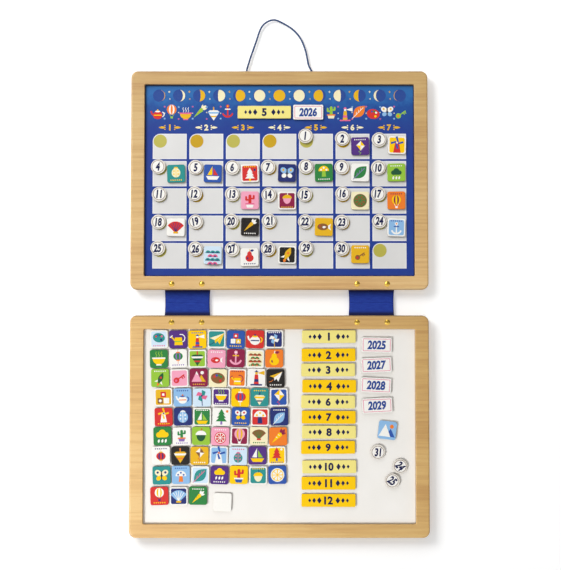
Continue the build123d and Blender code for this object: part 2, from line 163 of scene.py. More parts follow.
def lacqueredBeech(halfWide, upperTop, upperBottom, lowerTop, boardShades):
    # edge-glued beech under satin lacquer: honey streaks, short darker flecks, a soft shine. Each frame is
    # cut from one panel with its grain across the board. Painted shade: the upper frame darkens upwards, the
    # lower one to the right
    material, tree, place = startMaterial("lacqueredBeech")
    # real flecks are too fine for the render, so they are drawn wider
    wander, streaks, flecks = [addNode(tree, "ShaderNodeTexNoise", {
        "Vector": addNode(tree, "ShaderNodeMapping", {"Vector": place, "Scale": perSize(*size)}),
        "Scale": 1.0, "Detail": detail, "Distortion": distortion,
    }) for size, detail, distortion in (
        ((140, 40, 40), 2.0, 0.0), ((110, 3.6, 3.6), 5.0, 0.5), ((9, 0.6, 0.6), 1.0, 0.0),
    )]
    shade = addNode(tree, "ShaderNodeMath", {0: wander, 1: 0.7, 2: streaks}, operation="MULTIPLY_ADD")
    colour = addNode(tree, "ShaderNodeValToRGB", {"Fac": shade}, (
        (0.62, "#dcae71"), (0.78, "#e7bd7f"), (0.94, "#efc788"), (1.0, "#f2cd90"),
    ))
    flecked = addNode(tree, "ShaderNodeMix", {
        "Factor": addNode(tree, "ShaderNodeValToRGB", {"Fac": flecks}, ((0.60, 0.0), (0.74, 0.2))),
        "A": colour, "B": linear("#c0935a"),
    }, data_type="RGBA").outputs[2]
    axes = addNode(tree, "ShaderNodeSeparateXYZ", {"Vector": place}).outputs
    upwards, rightwards = [addNode(tree, "ShaderNodeMapRange", {
        "Value": axes[axis], "From Min": start, "From Max": end,
    }) for axis, start, end in (("Z", upperBottom, upperTop), ("X", -halfWide, halfWide))]
    # painted shade: the tone of each board, darker upwards on the upper frame and to the right on the lower
    # one
    upperBoardShade, lowerBoardShade = [addNode(tree, "ShaderNodeMix", {
        "Factor": factor, "A": linear(boardShades[board][0]), "B": linear(boardShades[board][1]),
    }, data_type="RGBA").outputs[2] for board, factor in (("upper", upwards), ("lower", rightwards))]
    onLower = addNode(tree, "ShaderNodeMath", {
        0: axes["Z"], 1: (upperBottom + lowerTop) / 2,
    }, operation="LESS_THAN")
    paintedBoardShade = addNode(tree, "ShaderNodeMix", {
        "Factor": onLower, "A": upperBoardShade, "B": lowerBoardShade,
    }, data_type="RGBA").outputs[2]
    shadedWood = addNode(tree, "ShaderNodeMix", {
        "Factor": 1.0, "A": flecked, "B": paintedBoardShade,
    }, data_type="RGBA", blend_type="MULTIPLY").outputs[2]
    # painted shade: the top edge of each frame is a little darker, as a rounded edge turned from the light
    fromEdge = [addNode(tree, "ShaderNodeMath", {
        0: addNode(tree, "ShaderNodeMath", {0: axes["Z"], 1: edge}, operation="SUBTRACT"),
    }, operation="ABSOLUTE") for edge in (upperTop, lowerTop)]
    edgeShade = addNode(tree, "ShaderNodeMapRange", {
        "Value": addNode(tree, "ShaderNodeMath", dict(enumerate(fromEdge)), operation="MINIMUM"),
        "From Min": 0.4 * mm, "From Max": 2.4 * mm, "To Min": 0.5, "To Max": 0.0,
    })
    topEdgeShaded = addNode(tree, "ShaderNodeMix", {
        "Factor": edgeShade, "A": shadedWood, "B": linear("#6b5c40"),
    }, data_type="RGBA").outputs[2]
    return finishMaterial(material, {
        "Base Color": topEdgeShaded,
        "Roughness": addNode(tree, "ShaderNodeValToRGB", {"Fac": streaks}, ((0.3, 0.50), (0.7, 0.36))),
        "Normal": addNode(tree, "ShaderNodeBump", {
            "Height": streaks, "Strength": 0.12, "Distance": 0.2 * mm,
        }),
        "Coat Weight": 0.2, "Coat Roughness": 0.3,
    })


def seamed(tree, place, colour, dark, amount, reach, window):
    # painted shade: darkens a sheet towards the edges of its window, where the frame's recess shades it
    left, right, bottom, top = window
    axes = addNode(tree, "ShaderNodeSeparateXYZ", {"Vector": place}).outputs
    gaps = ((axes["X"], left), (right, axes["X"]), (axes["Z"], bottom), (top, axes["Z"]))
    nearest, *others = [
        addNode(tree, "ShaderNodeMath", dict(enumerate(gap)), operation="SUBTRACT") for gap in gaps
    ]
    for other in others:
        nearest = addNode(tree, "ShaderNodeMath", {0: nearest, 1: other}, operation="MINIMUM")
    paintedEdgeShade = addNode(tree, "ShaderNodeMapRange", {
        "Value": nearest, "From Min": 0.2 * mm, "From Max": reach, "To Min": amount, "To Max": 0.0,
    }, interpolation_type="SMOOTHSTEP")
    return addNode(tree, "ShaderNodeMix", {
        "Factor": paintedEdgeShade, "A": colour, "B": linear(dark),
    }, data_type="RGBA").outputs[2]


def printedBlueEnamel(top, bottom, window):
    # offset-printed sheet steel: brighter blue at the top, deeper below, with a faint mottle
    material, tree, place = startMaterial("printedBlueEnamel")
    up = addNode(tree, "ShaderNodeSeparateXYZ", {"Vector": place}).outputs["Z"]
    fall = addNode(tree, "ShaderNodeMapRange", {"Value": up, "From Min": bottom, "From Max": top})
    mottle = addNode(tree, "ShaderNodeTexNoise", {"Vector": place, "Scale": 1 / (7 * mm), "Detail": 4.0})
    uneven = addNode(tree, "ShaderNodeMath", {0: mottle, 1: 0.45, 2: fall}, operation="MULTIPLY_ADD")
    colour = addNode(tree, "ShaderNodeValToRGB", {"Fac": uneven}, (
        (0.12, "#203990"), (0.35, "#233f8d"), (0.75, "#204d96"), (1.0, "#2c69ab"),
    ))
    return finishMaterial(material, {
        # painted shade at the edges of the window
        "Base Color": seamed(tree, place, colour, "#080b22", 0.85, 2.2 * mm, window),
        "Roughness": addNode(tree, "ShaderNodeValToRGB", {"Fac": mottle}, ((0.3, 0.40), (0.7, 0.5))),
        "IOR": 1.5, "Specular IOR Level": 0.2,
    })


def enamel(name, deep, pale, roughness, window=None):
    # smooth coated sheet: almost even, with a slow drift in tone and a little orange peel
    material, tree, place = startMaterial(name)
    drift = addNode(tree, "ShaderNodeTexNoise", {"Vector": place, "Scale": 1 / (55 * mm), "Detail": 3.0})
    peel = addNode(tree, "ShaderNodeTexNoise", {"Vector": place, "Scale": 1 / (2.2 * mm), "Detail": 2.0})
    colour = addNode(tree, "ShaderNodeValToRGB", {"Fac": drift}, ((0.3, deep), (0.7, pale)))
    if window:
        # painted shade where the frame meets the sheet
        colour = seamed(tree, place, colour, "#6e5c48", 0.6, 1.0 * mm, window)
    return finishMaterial(material, {
        "Base Color": colour,
        "Roughness": addNode(tree, "ShaderNodeValToRGB", {"Fac": peel}, (
            (0.3, roughness - 0.05), (0.7, roughness + 0.06),
        )),
        "Normal": addNode(tree, "ShaderNodeBump", {
            "Height": peel, "Strength": 0.05, "Distance": 0.05 * mm,
        }),
        "IOR": 1.5, "Specular IOR Level": 0.35,
    })


def hardboard():
    # pressed wood fibre: brown, matt, with matted fibres of a few mm
    material, tree, place = startMaterial("hardboard")
    slanted = addNode(tree, "ShaderNodeMapping", {
        "Vector": place, "Rotation": (0, 0.5, 0), "Scale": perSize(6, 6, 1.2),
    })
    fibres = addNode(tree, "ShaderNodeTexNoise", {
        "Vector": slanted, "Scale": 1.0, "Detail": 6.0, "Distortion": 1.5,
    })
    cloud = addNode(tree, "ShaderNodeTexNoise", {"Vector": place, "Scale": 1 / (45 * mm), "Detail": 2.0})
    both = addNode(tree, "ShaderNodeMath", {0: cloud, 1: 0.4, 2: fibres}, operation="MULTIPLY_ADD")
    colour = addNode(tree, "ShaderNodeValToRGB", {"Fac": both}, (
        (0.45, "#5f3f25"), (0.62, "#7b5533"), (0.78, "#8f6840"), (0.95, "#a57e52"),
    ))
    return finishMaterial(material, {
        "Base Color": colour,
        "Roughness": addNode(tree, "ShaderNodeValToRGB", {"Fac": fibres}, ((0.3, 0.72), (0.7, 0.9))),
        "Normal": addNode(tree, "ShaderNodeBump", {
            "Height": fibres, "Strength": 0.35, "Distance": 0.25 * mm,
        }),
    })


def metal(name, deep, pale, roughness, scratch):
    # drawn or stamped metal: fine handling marks vary its tone and its shine
    material, tree, place = startMaterial(name)
    marks = addNode(tree, "ShaderNodeTexNoise", {
        "Vector": place, "Scale": 1 / (scratch * mm), "Detail": 4.0, "Distortion": 0.8,
    })
    return finishMaterial(material, {
        "Base Color": addNode(tree, "ShaderNodeValToRGB", {"Fac": marks}, ((0.3, deep), (0.7, pale))),
        "Roughness": addNode(tree, "ShaderNodeValToRGB", {"Fac": marks}, (
            (0.3, roughness + 0.1), (0.7, roughness - 0.05),
        )),
        "Metallic": 1.0,
    })


def wovenPolyester(threads, shadeBands, selvedge):
    # plain-woven polyester tape: crossing threads, soft sheen; the piece's UV map is in mm along the cloth
    material, tree, place = startMaterial("wovenPolyester")
    cloth = addNode(tree, "ShaderNodeUVMap", uv_map="cloth")
    split = addNode(tree, "ShaderNodeSeparateXYZ", {"Vector": cloth}).outputs
    waves = [addNode(tree, "ShaderNodeMath", {
        0: addNode(tree, "ShaderNodeMath", {0: split[axis], 1: 2 * math.pi / threads}, operation="MULTIPLY"),
    }, operation="SINE") for axis in ("X", "Y")]
    weave = addNode(tree, "ShaderNodeMath", dict(enumerate(waves)), operation="MULTIPLY")
    level = addNode(tree, "ShaderNodeMath", {0: weave, 1: 0.5, 2: 0.5}, operation="MULTIPLY_ADD")
    slub = addNode(tree, "ShaderNodeTexNoise", {
        "Vector": addNode(tree, "ShaderNodeMapping", {"Vector": place, "Scale": perSize(9, 9, 1.6)}),
        "Scale": 1.0, "Detail": 3.0,
    })
    slubbed = addNode(tree, "ShaderNodeMath", {0: level, 1: 0.35, 2: slub}, operation="MULTIPLY_ADD")
    colour = addNode(tree, "ShaderNodeValToRGB", {"Fac": slubbed}, (
        (0.35, "#163090"), (0.65, "#1a389a"), (0.95, "#2043a8"),
    ))
    # painted shade: the cloth is darker in bands near the edges of the boards, where it passes behind them;
    # it is also darker along its selvedges
    fromMiddle = addNode(tree, "ShaderNodeMath", {0: split["Y"], 1: shadeBands["middle"]}, operation="SUBTRACT")
    along = addNode(tree, "ShaderNodeMath", {0: fromMiddle}, operation="ABSOLUTE")
    across = addNode(tree, "ShaderNodeMath", {0: split["X"]}, operation="ABSOLUTE")
    into, outOf, edge = [addNode(tree, "ShaderNodeMapRange", {
        "Value": value, "From Min": start, "From Max": end, "To Max": most,
    }, interpolation_type="SMOOTHSTEP") for value, (start, end), most in (
        (along, shadeBands["into"], 0.95), (along, shadeBands["outOf"], 0.95), (across, selvedge, 0.6),
    )]
    bandShade = addNode(tree, "ShaderNodeMath", {0: into, 1: outOf}, operation="SUBTRACT")
    shadedCloth = addNode(tree, "ShaderNodeMix", {
        "Factor": addNode(tree, "ShaderNodeMath", {0: bandShade, 1: edge}, operation="MAXIMUM"),
        "A": colour, "B": linear("#0d1042"),
    }, data_type="RGBA").outputs[2]
    return finishMaterial(material, {
        "Base Color": shadedCloth,
        "Roughness": addNode(tree, "ShaderNodeValToRGB", {"Fac": level}, ((0.0, 0.85), (1.0, 0.68))),
        "Normal": addNode(tree, "ShaderNodeBump", {
            "Height": level, "Strength": 0.4, "Distance": 0.2 * mm,
        }),
        "Sheen Weight": 0.12, "Sheen Roughness": 0.4, "Sheen Tint": linear("#8fa6e8"),
        "Specular IOR Level": 0.3,
    })


def braidedPolyester():
    # round braided cord: strands cross on the slant, so tone and height ripple along it
    material, tree, place = startMaterial("braidedPolyester")
    strands = addNode(tree, "ShaderNodeTexWave", {
        "Vector": place, "Scale": 1 / (1.7 * mm), "Distortion": 1.2, "Detail": 1.0,
    }, wave_type="BANDS", bands_direction="DIAGONAL").outputs["Fac"]
    colour = addNode(tree, "ShaderNodeValToRGB", {"Fac": strands}, (
        (0.0, "#10294f"), (0.6, "#183a6c"), (1.0, "#2a5189"),
    ))
    return finishMaterial(material, {
        "Base Color": colour,
        "Roughness": addNode(tree, "ShaderNodeValToRGB", {"Fac": strands}, ((0.0, 0.8), (1.0, 0.6))),
        "Normal": addNode(tree, "ShaderNodeBump", {
            "Height": strands, "Strength": 0.5, "Distance": 0.25 * mm,
        }),
        "Sheen Weight": 0.1, "Sheen Roughness": 0.4,
    })


def sandedWood():
    # the cut sides of the wooden tiles, plates and discs: dull brown, a little uneven
    return enamel("sandedWood", "#8f7d66", "#a8957b", 0.65)


def magneticRubber():
    # calendered rubber full of ferrite: dark grey, matt, with a fine grain
    return enamel("magneticRubber", "#2b2a29", "#3a3836", 0.75)


def screenInk():
    # opaque ink on coated paper: its colour is kept on the faces, with faint unevenness in tone and shine
    material, tree, place = startMaterial("screenInk")
    uneven = addNode(tree, "ShaderNodeTexNoise", {"Vector": place, "Scale": 1 / (1.8 * mm), "Detail": 3.0})
    veiled = addNode(tree, "ShaderNodeMix", {
        "Factor": addNode(tree, "ShaderNodeValToRGB", {"Fac": uneven}, ((0.35, 0.0), (0.7, 0.04))),
        "A": addNode(tree, "ShaderNodeAttribute", attribute_name="ink"), "B": linear("#8f8a80"),
    }, data_type="RGBA").outputs[2]
    return finishMaterial(material, {
        "Base Color": veiled,
        "Roughness": addNode(tree, "ShaderNodeValToRGB", {"Fac": uneven}, ((0.3, 0.36), (0.7, 0.5))),
        "IOR": 1.48, "Specular IOR Level": 0.15,
    })


hardboardBack = hardboard()
stapleWire = metal("galvanisedWire", "#8d9093", "#b4b7ba", 0.38, 1.5)
rivetBrass = metal("polishedBrass", "#c39838", "#e6c05c", 0.14, 1.2)
woodenSide = sandedWood()
rubberSheet = magneticRubber()
# the threads are drawn coarser than those of a real tape, so that the weave shows; where the painted shade
# near the boards and the dark of the selvedges begins and ends is in mm along and across the cloth from its
# middle
strapCloth = wovenPolyester(
    1.3, {"middle": 0.9, "into": (11.2, 16.2), "outOf": (18.5, 22.0)}, (29.4, 31.0),
)
cordBraid = braidedPolyester()
inkOnPaper = screenInk()


# Where things are, read from the frame

def low(node):
    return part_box(node)[0]


def high(node):
    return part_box(node)[1]


panelFace = low("calendar_panel").y
railBack = high("upper_frame").y
upperTop = high("upper_frame").z
upperBottom = low("upper_frame").z
lowerTop = high("lower_frame").z
lowerBottom = low("lower_frame").z
boardWidth = high("upper_frame").x - low("upper_frame").x

# where the print lies on the calendar sheet
boardPlan = {
    "rail": 18.5 * mm, "headerHeight": 67.3 * mm, "sideMargin": 11.0 * mm, "bottomMargin": 11.7 * mm,
    "cellGap": 3.7 * mm, "across": 7, "down": 5,
}
windowTop = upperTop - boardPlan["rail"]
windowBottom = upperBottom + boardPlan["rail"]
gridTop = windowTop - boardPlan["headerHeight"]
gridLeft = -boardWidth / 2 + boardPlan["rail"] + boardPlan["sideMargin"]
cellWide = (-2 * gridLeft - (boardPlan["across"] - 1) * boardPlan["cellGap"]) / boardPlan["across"]
gridHeight = gridTop - windowBottom - boardPlan["bottomMargin"]
cellHigh = (gridHeight - (boardPlan["down"] - 1) * boardPlan["cellGap"]) / boardPlan["down"]
pitchX = cellWide + boardPlan["cellGap"]
pitchZ = cellHigh + boardPlan["cellGap"]

windowSide = boardWidth / 2 - boardPlan["rail"]
storageWindow = (-windowSide, windowSide, lowerBottom + boardPlan["rail"], lowerTop - boardPlan["rail"])
calendarBlue = printedBlueEnamel(windowTop, gridTop, (-windowSide, windowSide, windowBottom, windowTop))
storageWhite = enamel("whiteEnamelledSteel", "#eeebe5", "#f3f0eb", 0.4, storageWindow)
# painted shade of each board: from bottom to top on the upper frame, from left to right on the lower one
beech = lacqueredBeech(boardWidth / 2, upperTop, upperBottom, lowerTop, {
    "upper": ("#efedeb", "#d3d0c3"), "lower": ("#f0ece1", "#dcd6c0"),
})

for material, names in (
    (beech, ("upper_frame", "lower_frame")),
    (calendarBlue, ("calendar_panel",)),
    (storageWhite, ("storage_panel",)),
    (hardboardBack, ("upper_backing_board", "lower_backing_board")),
    (stapleWire, ("upper_backing_staples", "lower_backing_staples", "cord_staples")),
    (rivetBrass, ("upper_strap_rivets", "lower_strap_rivets", "upper_rivet_washers", "lower_rivet_washers")),
):
    for name in names:
        coat(frame["nodes"][name].data, material)
print("carried-over pieces have their materials")


# Magnets keep their CAD shapes: wood in front, dark rubber against the panel

magnetLook = {"rubberDepth": 0.8 * mm, "slack": 0.01 * mm}
rubberFront = panelFace - magnetLook["rubberDepth"] - magnetLook["slack"]
magnetNames = [name for name in frame["nodes"] if name in frame["bodies"]]
for name in magnetNames:
    mesh = frame["nodes"][name].data
    coat(mesh, woodenSide, rubberSheet)
    for face in mesh.polygons:
        face.material_index = 1 if min(mesh.vertices[v].co.y for v in face.vertices) > rubberFront else 0


def magnetSeats(name):
    # centre and turn of every board in a node, from left to right
    shape = bmesh.new()
    shape.from_mesh(frame["nodes"][name].data)
    bmesh.ops.remove_doubles(shape, verts=shape.verts, dist=1e-6)
    shape.normal_update()
    waiting = set(shape.verts)
    seats = []
    while waiting:
        stack = [waiting.pop()]
        part = list(stack)
        while stack:
            for edge in stack.pop().link_edges:
                for vert in edge.verts:
                    if vert in waiting:
                        waiting.remove(vert)
                        stack.append(vert)
                        part.append(vert)
        front = min(v.co.y for v in part)
        if front > panelFace - 2 * magnetLook["rubberDepth"]:
            continue  # a rubber sheet
        sides = {f for v in part for f in v.link_faces if abs(f.normal.y) < 0.05}
        # opposite sides are alike, so the normal decides between them
        widest = max(sides, key=lambda f: (round(f.calc_area(), 9), f.normal.x, f.normal.z))
        turn = math.atan2(widest.normal.z, widest.normal.x)
        seats.append({
            "x": (min(v.co.x for v in part) + max(v.co.x for v in part)) / 2,
            "z": (min(v.co.z for v in part) + max(v.co.z for v in part)) / 2,
            "y": front,
            "turn": (turn + math.pi / 4) % (math.pi / 2) - math.pi / 4,
        })
    shape.free()
    return sorted(seats, key=lambda seat: seat["x"])


# Printing: every ink area is a thin closed layer on the face that carries it

inkLayer = {"first": 0.05 * mm, "step": 0.03 * mm}

inks = {key: linear(value) for key, value in {
    "white": "#f4f2ec", "cream": "#f3e9c0", "paleYellow": "#f1e385", "yellow": "#fbca00", "gold": "#e6b31f",
    "orange": "#ee7d2a", "red": "#d3322f", "maroon": "#8b1f45", "pink": "#f0a2bb", "rose": "#e2678f",
    "purple": "#53307f", "violet": "#8a6bb5", "navy": "#25306f", "royal": "#2f56a8", "sky": "#8db9e2",
    "ice": "#cfe3f2", "teal": "#2c8f8c", "green": "#2f8141", "lime": "#94c23d", "forest": "#1f5636",
    "brown": "#8a5a32", "black": "#23201f", "ringTan": "#836a60",
    "midnight": "#2a4a93", "rim": "#e2ddd3", "pitch": "#141a48", "denim": "#27478f",
}.items()}


def newPrint():
    return {"points": [], "faces": [], "colours": []}


def area(outline):
    return sum(a[0] * b[1] - b[0] * a[1] for a, b in zip(outline, outline[1:] + outline[:1])) / 2


def onSeat(seat, u, v, rise):
    c, s = math.cos(seat["turn"]), math.sin(seat["turn"])
    return (seat["x"] + u * c - v * s, seat["y"] - rise, seat["z"] + u * s + v * c)


def layRings(printed, seat, rings, ink):
    # a closed skin over rings of points, each with its rise from the seat, from the lowest to the front
    start = len(printed["points"])
    count = len(rings[0][0])
    front = start + (len(rings) - 1) * count
    for outline, rise in rings:
        turned = outline if area(outline) > 0 else outline[::-1]
        printed["points"] += [onSeat(seat, u, v, rise) for u, v in turned]
    made = [tuple(front + i for i in range(count)), tuple(start + i for i in reversed(range(count)))]
    for below in range(start, front, count):
        for i in range(count):
            j = (i + 1) % count
            made.append((below + i, below + j, below + count + j, below + count + i))
    printed["faces"] += made
    printed["colours"] += [inks[ink]] * len(made)


def lay(printed, seat, outline, ink, layer, scale=1.0, shift=(0.0, 0.0)):
    rise = inkLayer["first"] + layer * inkLayer["step"]
    placed = [(u * scale + shift[0], v * scale + shift[1]) for u, v in outline]
    layRings(printed, seat, ((placed, 0.0), (placed, rise)), ink)


# the first coat of a magnet covers its flat front and runs over the rounded edge onto the sides: how far it
# reaches outwards and up from the edge of the flat front
capSteps = ((0.46 * mm, -0.5 * mm), (0.33 * mm, -0.08 * mm), (0.0, 0.05 * mm))


def boxCap(width, height, corner):
    return [(roundBox(0, 0, width + 2 * out, height + 2 * out, corner + out), up) for out, up in capSteps]


def discCap(radius):
    return [(oval(0, 0, radius + out, count=40), up) for out, up in capSteps]


numeralLook = {"embolden": 0.044, "smoothness": 3}
numeralShapes = {}


def numeral(body):
    # a number as a solid one unit high, centred; the last value of a point says whether it is in front
    if body not in numeralShapes:
        letters = bpy.data.curves.new("numeral", "FONT")
        letters.body = body
        letters.extrude = 0.5
        letters.offset = numeralLook["embolden"]
        letters.resolution_u = numeralLook["smoothness"]
        holder = linked("numeral", letters)
        mesh = plainMesh(holder, "numeral")
        shape = bmesh.new()
        shape.from_mesh(mesh)
        bmesh.ops.remove_doubles(shape, verts=shape.verts, dist=1e-4)
        shape.verts.index_update()
        wide = [v.co.x for v in shape.verts]
        tall = [v.co.y for v in shape.verts]
        size = max(tall) - min(tall)
        middle = ((max(wide) + min(wide)) / 2, (max(tall) + min(tall)) / 2)
        numeralShapes[body] = (
            [((v.co.x - middle[0]) / size, (v.co.y - middle[1]) / size, v.co.z > 0) for v in shape.verts],
            [tuple(v.index for v in f.verts) for f in shape.faces],
        )
        shape.free()
        bpy.data.objects.remove(holder)
        bpy.data.curves.remove(letters)
        bpy.data.meshes.remove(mesh)
    return numeralShapes[body]


def layNumeral(printed, seat, body, height, ink, layer, squeeze=1.0, slant=0.0, shift=(0.0, 0.0)):
    points, faces = numeral(body)
    start = len(printed["points"])
    rise = inkLayer["first"] + layer * inkLayer["step"]
    for u, v, front in points:
        across = (u * squeeze + v * slant) * height + shift[0]
        printed["points"].append(onSeat(seat, across, v * height + shift[1], rise if front else 0.0))
    printed["faces"] += [tuple(start + i for i in face) for face in faces]
    printed["colours"] += [inks[ink]] * len(faces)


def finishPrint(printed, name, body):
    piece = meshObject(name, printed["points"], printed["faces"])
    attribute = piece.data.color_attributes.new("ink", "FLOAT_COLOR", "CORNER")
    shades = []
    for face, colour in zip(piece.data.polygons, printed["colours"]):
        shades += list(colour) * face.loop_total
    attribute.data.foreach_set("color", shades)
    piece.data.materials.append(inkOnPaper)
    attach(piece, body)
    return piece


# Outlines: rings of points across and up

def onCircle(cx, cy, radius, degrees):
    return (cx + radius * math.cos(math.radians(degrees)), cy + radius * math.sin(math.radians(degrees)))


def oval(cx, cy, rx, ry=None, turn=0.0, count=24):
    ry = rx if ry is None else ry
    angles = [2 * math.pi * i / count for i in range(count)]
    return spun([(cx + rx * math.cos(t), cy + ry * math.sin(t)) for t in angles], turn, cx, cy)


def roundBox(cx, cy, width, height, radius, count=4):
    ring = []
    for quarter, (sx, sy) in enumerate(((1, 1), (-1, 1), (-1, -1), (1, -1))):
        for i in range(count + 1):
            angle = math.pi / 2 * (quarter + i / count)
            ring.append((
                cx + sx * (width / 2 - radius) + radius * math.cos(angle),
                cy + sy * (height / 2 - radius) + radius * math.sin(angle),
            ))
    return ring


def ribbon(points, width):
    # a stroke of even width along a few points
    left, right = [], []
    for i, here in enumerate(points):
        before = points[max(i - 1, 0)]
        after = points[min(i + 1, len(points) - 1)]
        dx, dy = after[0] - before[0], after[1] - before[1]
        size = math.hypot(dx, dy)
        nx, ny = -dy / size * width / 2, dx / size * width / 2
        left.append((here[0] + nx, here[1] + ny))
        right.append((here[0] - nx, here[1] - ny))
    return left + right[::-1]


def bow(cx, cy, radius, fromAngle, toAngle, count=14):
    step = (toAngle - fromAngle) / count
    return [onCircle(cx, cy, radius, fromAngle + step * i) for i in range(count + 1)]


def burst(cx, cy, outer, inner, points, turn=90.0):
    return [onCircle(cx, cy, (outer, inner)[i % 2], turn + 180 * i / points) for i in range(2 * points)]


def blade(x0, y0, x1, y1, swell, count=8):
    # a leaf shape between two points
    dx, dy = x1 - x0, y1 - y0
    side = [(math.sin(math.pi * i / count) * swell, i / count) for i in range(count + 1)]
    up = [(x0 + dx * t - dy * w, y0 + dy * t + dx * w) for w, t in side]
    down = [(x0 + dx * t + dy * w, y0 + dy * t - dx * w) for w, t in side[1:-1]]
    return up + down[::-1]


def spun(outline, turn, cx=0.0, cy=0.0):
    c, s = math.cos(math.radians(turn)), math.sin(math.radians(turn))
    return [(cx + (u - cx) * c - (v - cy) * s, cy + (u - cx) * s + (v - cy) * c) for u, v in outline]


# Small generic pictures: each gives its areas from the bottom up, in a main, a second and an accent ink

def kite(a, b, c):
    return [
        (c, ribbon([(0.05, -0.35), (-0.2, -0.55), (0.1, -0.7), (-0.1, -0.9)], 0.07)),
        (a, [(0.1, 0.85), (-0.5, 0.3), (0.05, -0.4), (0.6, 0.2)]),
        (b, [(0.1, 0.85), (-0.5, 0.3), (0.06, 0.25)]),
        (b, [(0.05, -0.4), (0.6, 0.2), (0.06, 0.25)]),
    ]


def sailboat(a, b, c):
    return [
        (a, [(-0.75, -0.3), (-0.5, -0.7), (0.5, -0.7), (0.75, -0.3)]),
        (b, [(-0.05, 0.8), (-0.05, -0.2), (-0.6, -0.2)]),
        (c, [(0.07, 0.6), (0.6, -0.2), (0.07, -0.2)]),
    ]


def toadstool(a, b, c):
    spots = [(b, oval(x, y, 0.12)) for x, y in ((-0.35, 0.2), (0.0, 0.45), (0.35, 0.18))]
    stem = [(-0.2, 0.1), (-0.28, -0.7), (0.28, -0.7), (0.2, 0.1)]
    return [(c, stem), (a, bow(0, 0.02, 0.68, 0, 180)), *spots]


def cactus(a, b, c):
    return [
        (a, roundBox(0, 0.05, 0.34, 1.2, 0.16)),
        (a, roundBox(-0.42, 0.22, 0.22, 0.5, 0.1)), (a, roundBox(-0.28, 0.05, 0.4, 0.2, 0.08)),
        (a, roundBox(0.42, 0.36, 0.22, 0.46, 0.1)), (a, roundBox(0.28, 0.2, 0.4, 0.2, 0.08)),
        (b, [(-0.45, -0.35), (-0.33, -0.82), (0.33, -0.82), (0.45, -0.35)]),
        (c, roundBox(0, -0.4, 1.0, 0.16, 0.04)),
    ]


def airBalloon(a, b, c):
    return [
        (c, ribbon([(-0.35, -0.1), (-0.12, -0.6)], 0.05)), (c, ribbon([(0.35, -0.1), (0.12, -0.6)], 0.05)),
        (a, oval(0, 0.25, 0.58, 0.6)), (b, oval(0, 0.25, 0.34, 0.6)), (a, oval(0, 0.25, 0.13, 0.6)),
        (c, roundBox(0, -0.7, 0.3, 0.24, 0.05)),
    ]


def fish(a, b, c):
    return [
        (b, [(0.3, 0.0), (0.8, 0.38), (0.68, 0.0), (0.8, -0.38)]), (a, oval(-0.12, 0, 0.6, 0.38)),
        (b, blade(-0.2, -0.05, 0.25, 0.0, 0.28)), (c, oval(-0.45, 0.1, 0.08, count=12)),
    ]


def pear(a, b, c):
    return [
        (c, ribbon([(0.0, 0.45), (0.08, 0.85)], 0.09)), (a, oval(0, -0.28, 0.52, 0.48)),
        (a, oval(0, 0.18, 0.3, 0.4)), (b, blade(0.08, 0.62, 0.6, 0.72, 0.28)),
        (b, oval(-0.24, -0.32, 0.08, 0.16, 15, 12)),
    ]


def mountains(a, b, c):
    return [
        (c, oval(0.45, 0.45, 0.22)), (b, [(-0.2, -0.7), (0.35, 0.2), (0.9, -0.7)]),
        (a, [(-0.9, -0.7), (-0.25, 0.65), (0.4, -0.7)]),
        ("white", [(-0.25, 0.65), (-0.45, 0.24), (-0.3, 0.32), (-0.22, 0.18), (-0.05, 0.24)]),
    ]


def lighthouse(a, b, c):
    return [
        (c, [(0.1, 0.52), (0.9, 0.8), (0.9, 0.3)]),
        (a, [(-0.28, -0.75), (-0.18, 0.35), (0.18, 0.35), (0.28, -0.75)]),
        (b, [(-0.25, -0.45), (-0.22, -0.15), (0.22, -0.15), (0.25, -0.45)]),
        (c, roundBox(0, 0.5, 0.26, 0.26, 0.03)), (b, [(-0.24, 0.62), (0, 0.85), (0.24, 0.62)]),
        (b, roundBox(0, -0.78, 1.3, 0.16, 0.07)),
    ]


def teapot(a, b, c):
    handle = bow(0.5, -0.05, 0.34, -80, 80) + bow(0.5, -0.05, 0.22, 80, -80)
    return [
        (b, handle), (a, ribbon([(-0.35, -0.25), (-0.68, 0.0), (-0.8, 0.35)], 0.2)),
        (a, oval(0, -0.15, 0.56, 0.48)), (b, oval(0, 0.3, 0.32, 0.1)), (c, oval(0, 0.46, 0.1)),
        (c, roundBox(0, -0.15, 0.95, 0.12, 0.05)),
    ]


def paperLantern(a, b, c):
    return [
        (c, ribbon([(0, 0.95), (0, -0.9)], 0.06)), (a, oval(0, 0.08, 0.6, 0.5)),
        (b, oval(0, 0.08, 0.33, 0.48)), (a, oval(0, 0.08, 0.14, 0.48)),
        (c, roundBox(0, 0.58, 0.46, 0.14, 0.04)),
        (c, roundBox(0, -0.42, 0.46, 0.14, 0.04)),
    ]


def windmill(a, b, c):
    sail = [(0.05, 0.3), (0.05, 0.95), (0.28, 0.95), (0.22, 0.36)]
    sails = [(b, spun(sail, 20 + 90 * i, 0, 0.28)) for i in range(4)]
    return [(a, [(-0.42, -0.85), (-0.2, 0.4), (0.2, 0.4), (0.42, -0.85)]), *sails, (c, oval(0, 0.28, 0.1))]


def pineTree(a, b, c):
    tiers = [
        (a, [(-0.62 + 0.13 * i, -0.5 + 0.38 * i), (0, 0.2 + 0.34 * i), (0.62 - 0.13 * i, -0.5 + 0.38 * i)])
        for i in range(3)
    ]
    return [(b, roundBox(0, -0.65, 0.22, 0.4, 0.03)), *tiers, (c, oval(0.62, 0.6, 0.14))]


def featherLeaf(a, b, c):
    veins = [(b, ribbon([(t, t), (t + 0.02, t + 0.32)], 0.05)) for t in (-0.35, -0.1, 0.15)]
    return [(a, blade(-0.7, -0.7, 0.7, 0.7, 0.3)), (b, ribbon([(-0.8, -0.8), (0.5, 0.5)], 0.07)), *veins]


